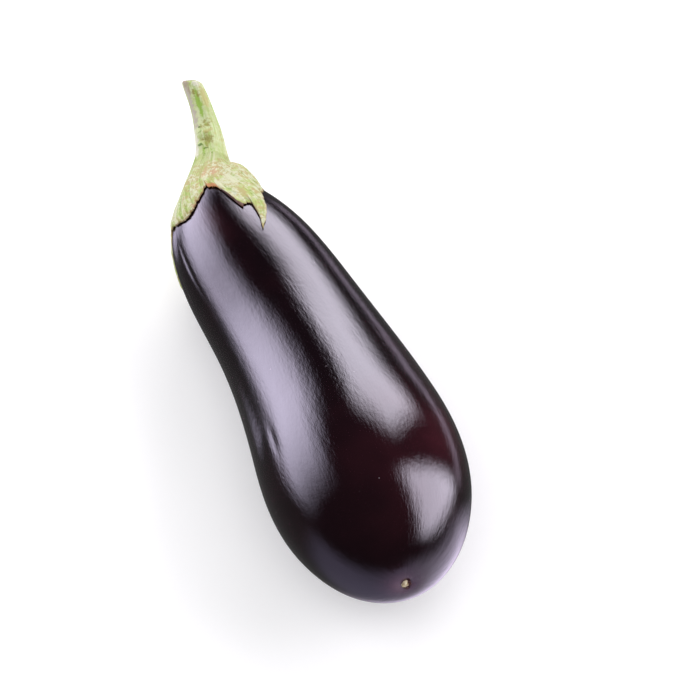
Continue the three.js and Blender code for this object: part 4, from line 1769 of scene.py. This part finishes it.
@dataclass
class Studio:
    """The pale floor, the light panels, the soft lights and the camera.

    Fields:
        panels: what the glossy skin mirrors.
        fills, fill_distance: the soft lights, and how many metres off they stand.
        surround: what the skin mirrors beside the panels, by the direction's upward part.
        backdrop, ambient: the grey behind the floor, and the one that matt surfaces gather.
        floor_radius, floor_sides, floor_sunk: the floor's size in metres, and how far under 0 it lies.
        floor_colour, floor_roughness, floor_glow: the floor's finish.
        camera_azimuth, camera_elevation, camera_distance, target: where the camera stands and looks.
        focal_pixels, render_pixels, sensor: its focal length and the render's width in pixels, and the
            width in millimetres that stands for it.
        clip_start, clip_end: the nearest and farthest that it sees, in metres.
    """

    panels: tuple[Panel, ...] = (
        Panel(
            corners=((-210, -23), (-112, 37), (-100, -11), (-118, -13)),
            softness=(0.23, 0.30, 0.30, 0.17),
            light=(6.3, 5.8, 7.6),
        ),
        Panel(
            corners=((-137, -18), (-165, -20), (-162, -46), (-137, -40)),
            softness=(0.10, 0.10, 0.06, 0.06),
            light=(1.50, 1.36, 1.85),
        ),
        Panel(
            corners=((-125, -10), (-165, -12), (-150, 30), (-122, 20)),
            softness=(0.16, 0.20, 0.25, 0.20),
            light=(1.9, 1.7, 2.15),
        ),
        Panel(
            corners=((133, 47), (176, 38), (170, 5), (129, 11)),
            softness=(0.21, 0.13, 0.21, 0.14),
            light=(8.9, 8.3, 9.8),
        ),
        Panel(
            corners=((85, 59), (99, 62), (99, -12), (43, 16)),
            softness=(0.18, 0.12, 0.17, 0.28),
            light=(9.3, 8.6, 10.4),
        ),
        Panel(
            corners=((26, -5), (128, -24), (150, -66), (184, -66)),
            softness=(0.27, 0.12, 0.12, 0.38),
            light=(1.92, 1.66, 2.22),
        ),
        Panel(
            corners=((-87, -14), (27, -1), (18, -73), (-89, -32)),
            softness=(0.10, 0.09, 0.65, 0.14),
            light=(0.62, 0.54, 0.88),
        ),
        Panel(
            corners=((103, -19), (150, -14), (150, -20), (103, -26)),
            softness=(0.05, 0.05, 0.05, 0.05),
            light=(1.1, 0.9, 1.2),
        ),
    )
    fills: tuple[Fill, ...] = (
        Fill(-126.4, 24.0, 0.95, 0.95, 9.8, (1.0, 0.98, 1.03)),
        Fill(150.5, 32.0, 0.85, 0.85, 8.0, (1.0, 0.97, 1.03)),
        Fill(78.9, 34.0, 0.85, 1.1, 8.0, (1.0, 0.97, 1.03)),
        Fill(-20.0, 62.0, 1.0, 1.0, 7.0, (1.0, 1.0, 1.0)),
    )
    fill_distance: float = 1.3
    surround: Band = Band(start=0.0, end=-0.35, low=0.032, high=0.10)
    backdrop: float = 0.93
    ambient: float = 0.30
    floor_radius: float = 4.0
    floor_sides: int = 96
    floor_sunk: float = 0.05
    floor_colour: Colour = (0.94, 0.94, 0.94)
    floor_roughness: float = 0.9
    floor_glow: float = 0.14
    camera_azimuth: float = -14.9
    camera_elevation: float = 56.56
    camera_distance: float = 963.3
    target: Point = (14.04, 18.92, 43.0)
    focal_pixels: float = 2219.19
    render_pixels: int = 700
    sensor: float = 36.0
    clip_start: float = 0.01
    clip_end: float = 20.0

    def build(self) -> None:
        """Makes the floor, the sky, the lights and the camera."""
        self.make_floor()
        self.make_sky()
        for number, fill in enumerate(self.fills):
            self.make_fill(number, fill)
        self.make_camera()
        scene = bpy.context.scene
        scene.view_settings.view_transform = "Standard"
        scene.cycles.use_denoising = True

    def make_floor(self) -> None:
        """A wide round floor just under the fruit, left out of the skin's mirror image."""
        turn = np.linspace(0.0, 2.0 * math.pi, self.floor_sides, endpoint=False)
        flat = np.full(self.floor_sides, -self.floor_sunk * MM)
        ring = np.stack([self.floor_radius * np.cos(turn), self.floor_radius * np.sin(turn), flat], axis=-1)
        mesh = bpy.data.meshes.new("studio_floor")
        mesh.from_pydata(ring.tolist(), [], [list(range(self.floor_sides))])
        floor = bpy.data.objects.new("studio_floor", mesh)
        bpy.context.scene.collection.objects.link(floor)
        nodes = Nodes("studio_floor")
        nodes.connect(opaque(self.floor_colour), nodes.shader.inputs["Base Color"])
        nodes.connect(self.floor_roughness, nodes.shader.inputs["Roughness"])
        nodes.connect(opaque(self.floor_colour), nodes.shader.inputs["Emission Color"])
        nodes.connect(self.floor_glow, nodes.shader.inputs["Emission Strength"])
        mesh.materials.append(nodes.material)
        floor.visible_glossy = False

    def make_sky(self) -> None:
        """The surroundings: a pale backdrop to the eye, even light for matt faces, panels for gloss."""
        world = bpy.data.worlds.new("studio_sky")
        bpy.context.scene.world = world
        world.use_nodes = True
        world.cycles.sampling_method = "NONE"
        sky = SkyNodes(world.node_tree)
        gloss = sky.grey(sky.step(sky.height(), self.surround))
        for panel in self.panels:
            gloss = sky.vector_math("ADD", gloss, sky.panel(panel))
        sky.finish(gloss, self.backdrop, self.ambient)

    def make_fill(self, number: int, fill: Fill) -> None:
        """One area light aimed at the middle of the object.

        Args:
            number: counts the lights, for its name.
            fill: where it stands, its size, power and tint.
        """
        data = bpy.data.lights.new(f"studio_fill_{number}", "AREA")
        data.shape = "RECTANGLE"
        data.size = fill.width
        data.size_y = fill.height
        data.energy = fill.watts
        data.color = fill.tint
        light = bpy.data.objects.new(f"studio_fill_{number}", data)
        bpy.context.scene.collection.objects.link(light)
        towards = direction(fill.azimuth, fill.elevation)
        self.aim(light, towards, towards * self.fill_distance)
        light.visible_glossy = False
        light.visible_camera = False

    def make_camera(self) -> None:
        """The camera, with its focal length from the render's width in pixels."""
        data = bpy.data.cameras.new("studio_camera")
        data.sensor_width = self.sensor
        data.lens = self.sensor * self.focal_pixels / self.render_pixels
        data.clip_start = self.clip_start
        data.clip_end = self.clip_end
        camera = bpy.data.objects.new("studio_camera", data)
        bpy.context.scene.collection.objects.link(camera)
        towards = direction(self.camera_azimuth, self.camera_elevation)
        self.aim(camera, towards, towards * self.camera_distance * MM)
        bpy.context.scene.camera = camera

    def aim(self, thing: bpy.types.Object, towards: Vector, offset: Vector) -> None:
        """Stands a light or camera off from the target, and turns it to look back along a direction."""
        thing.location = Vector(self.target) * MM + offset
        thing.rotation_euler = towards.to_track_quat("Z", "Y").to_euler()


def direction(azimuth: float, elevation: float) -> Vector:
    """The unit vector from the object towards an azimuth and elevation in degrees."""
    turn, rise = math.radians(azimuth), math.radians(elevation)
    return Vector((math.sin(turn) * math.cos(rise), -math.cos(turn) * math.cos(rise), math.sin(rise)))


class SkyNodes(Graph):
    """The world's node tree, with the few nodes that draw soft panels by direction."""

    def __init__(self, tree: bpy.types.NodeTree) -> None:
        """Empties the tree and adds the direction of view from the object."""
        super().__init__(tree)
        self.direction = self.tree.nodes.new("ShaderNodeTexCoord").outputs["Generated"]

    def height(self) -> Socket:
        """The direction's upward part."""
        return self.vector_math("DOT_PRODUCT", self.direction, (0.0, 0.0, 1.0))

    def grey(self, value: Socket) -> Socket:
        """A light of that value.

        Args:
            value: the radiance.

        Returns:
            A vector of three equal parts.
        """
        node = self.tree.nodes.new("ShaderNodeCombineXYZ")
        for socket in node.inputs:
            self.connect(value, socket)
        return node.outputs["Vector"]

    def panel(self, panel: Panel) -> Socket:
        """A panel's light: the product of a smooth step over each of its sides.

        Args:
            panel: the panel to draw.

        Returns:
            Its light as a vector of red, green and blue.
        """
        inside = None
        for normal, soft in zip(panel.sides(), panel.softness):
            across = self.vector_math("DOT_PRODUCT", self.direction, normal)
            step = self.step(across, Band(-soft, soft))
            inside = step if inside is None else self.math("MULTIPLY", inside, step)
        node = self.tree.nodes.new("ShaderNodeVectorMath")
        node.operation = "SCALE"
        self.connect(panel.light, node.inputs[0])
        self.connect(inside, node.inputs["Scale"])
        return node.outputs["Vector"]

    def finish(self, gloss: Socket, backdrop: float, ambient: float) -> None:
        """Sends the panels to mirror rays, the backdrop to the eye and even light to the rest.

        Args:
            gloss: what mirror rays see.
            backdrop: the grey that the eye sees past the floor.
            ambient: the grey that matt surfaces gather.
        """
        path = self.tree.nodes.new("ShaderNodeLightPath")
        even = self.mix("VECTOR", path.outputs["Is Camera Ray"], (ambient,) * 3, (backdrop,) * 3)
        both = self.mix("VECTOR", path.outputs["Is Glossy Ray"], even, gloss)
        light = self.tree.nodes.new("ShaderNodeBackground")
        self.connect(both, light.inputs["Color"])
        output = self.tree.nodes.new("ShaderNodeOutputWorld")
        self.connect(light.outputs["Background"], output.inputs["Surface"])


# --------------------------------------------------------------------------------------- main


def settle(piece: bpy.types.Object, node: str) -> None:
    """Lets a finished piece ride on the body and stand for its node.

    Args:
        piece: the finished object.
        node: the solid that it replaces.
    """
    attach(piece, BODY)
    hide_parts(node)
    log.info("%s stands for %s with %d faces", piece.name, node, len(piece.data.polygons))


def main() -> None:
    """Builds the eggplant's pieces and the studio round them."""
    logging.basicConfig(level=logging.INFO, format="%(message)s")
    fruit = FruitForm()
    stem = StemForm(fruit)
    settle(FruitPiece(fruit).build(), "fruit")
    settle(CalyxPiece(fruit, stem).build(), "calyx")
    settle(StemPiece(stem).build(), "stem")
    settle(ScarPiece(fruit).build(), "blossom_scar")
    Studio().build()


if __name__ == "__main__":
    main()
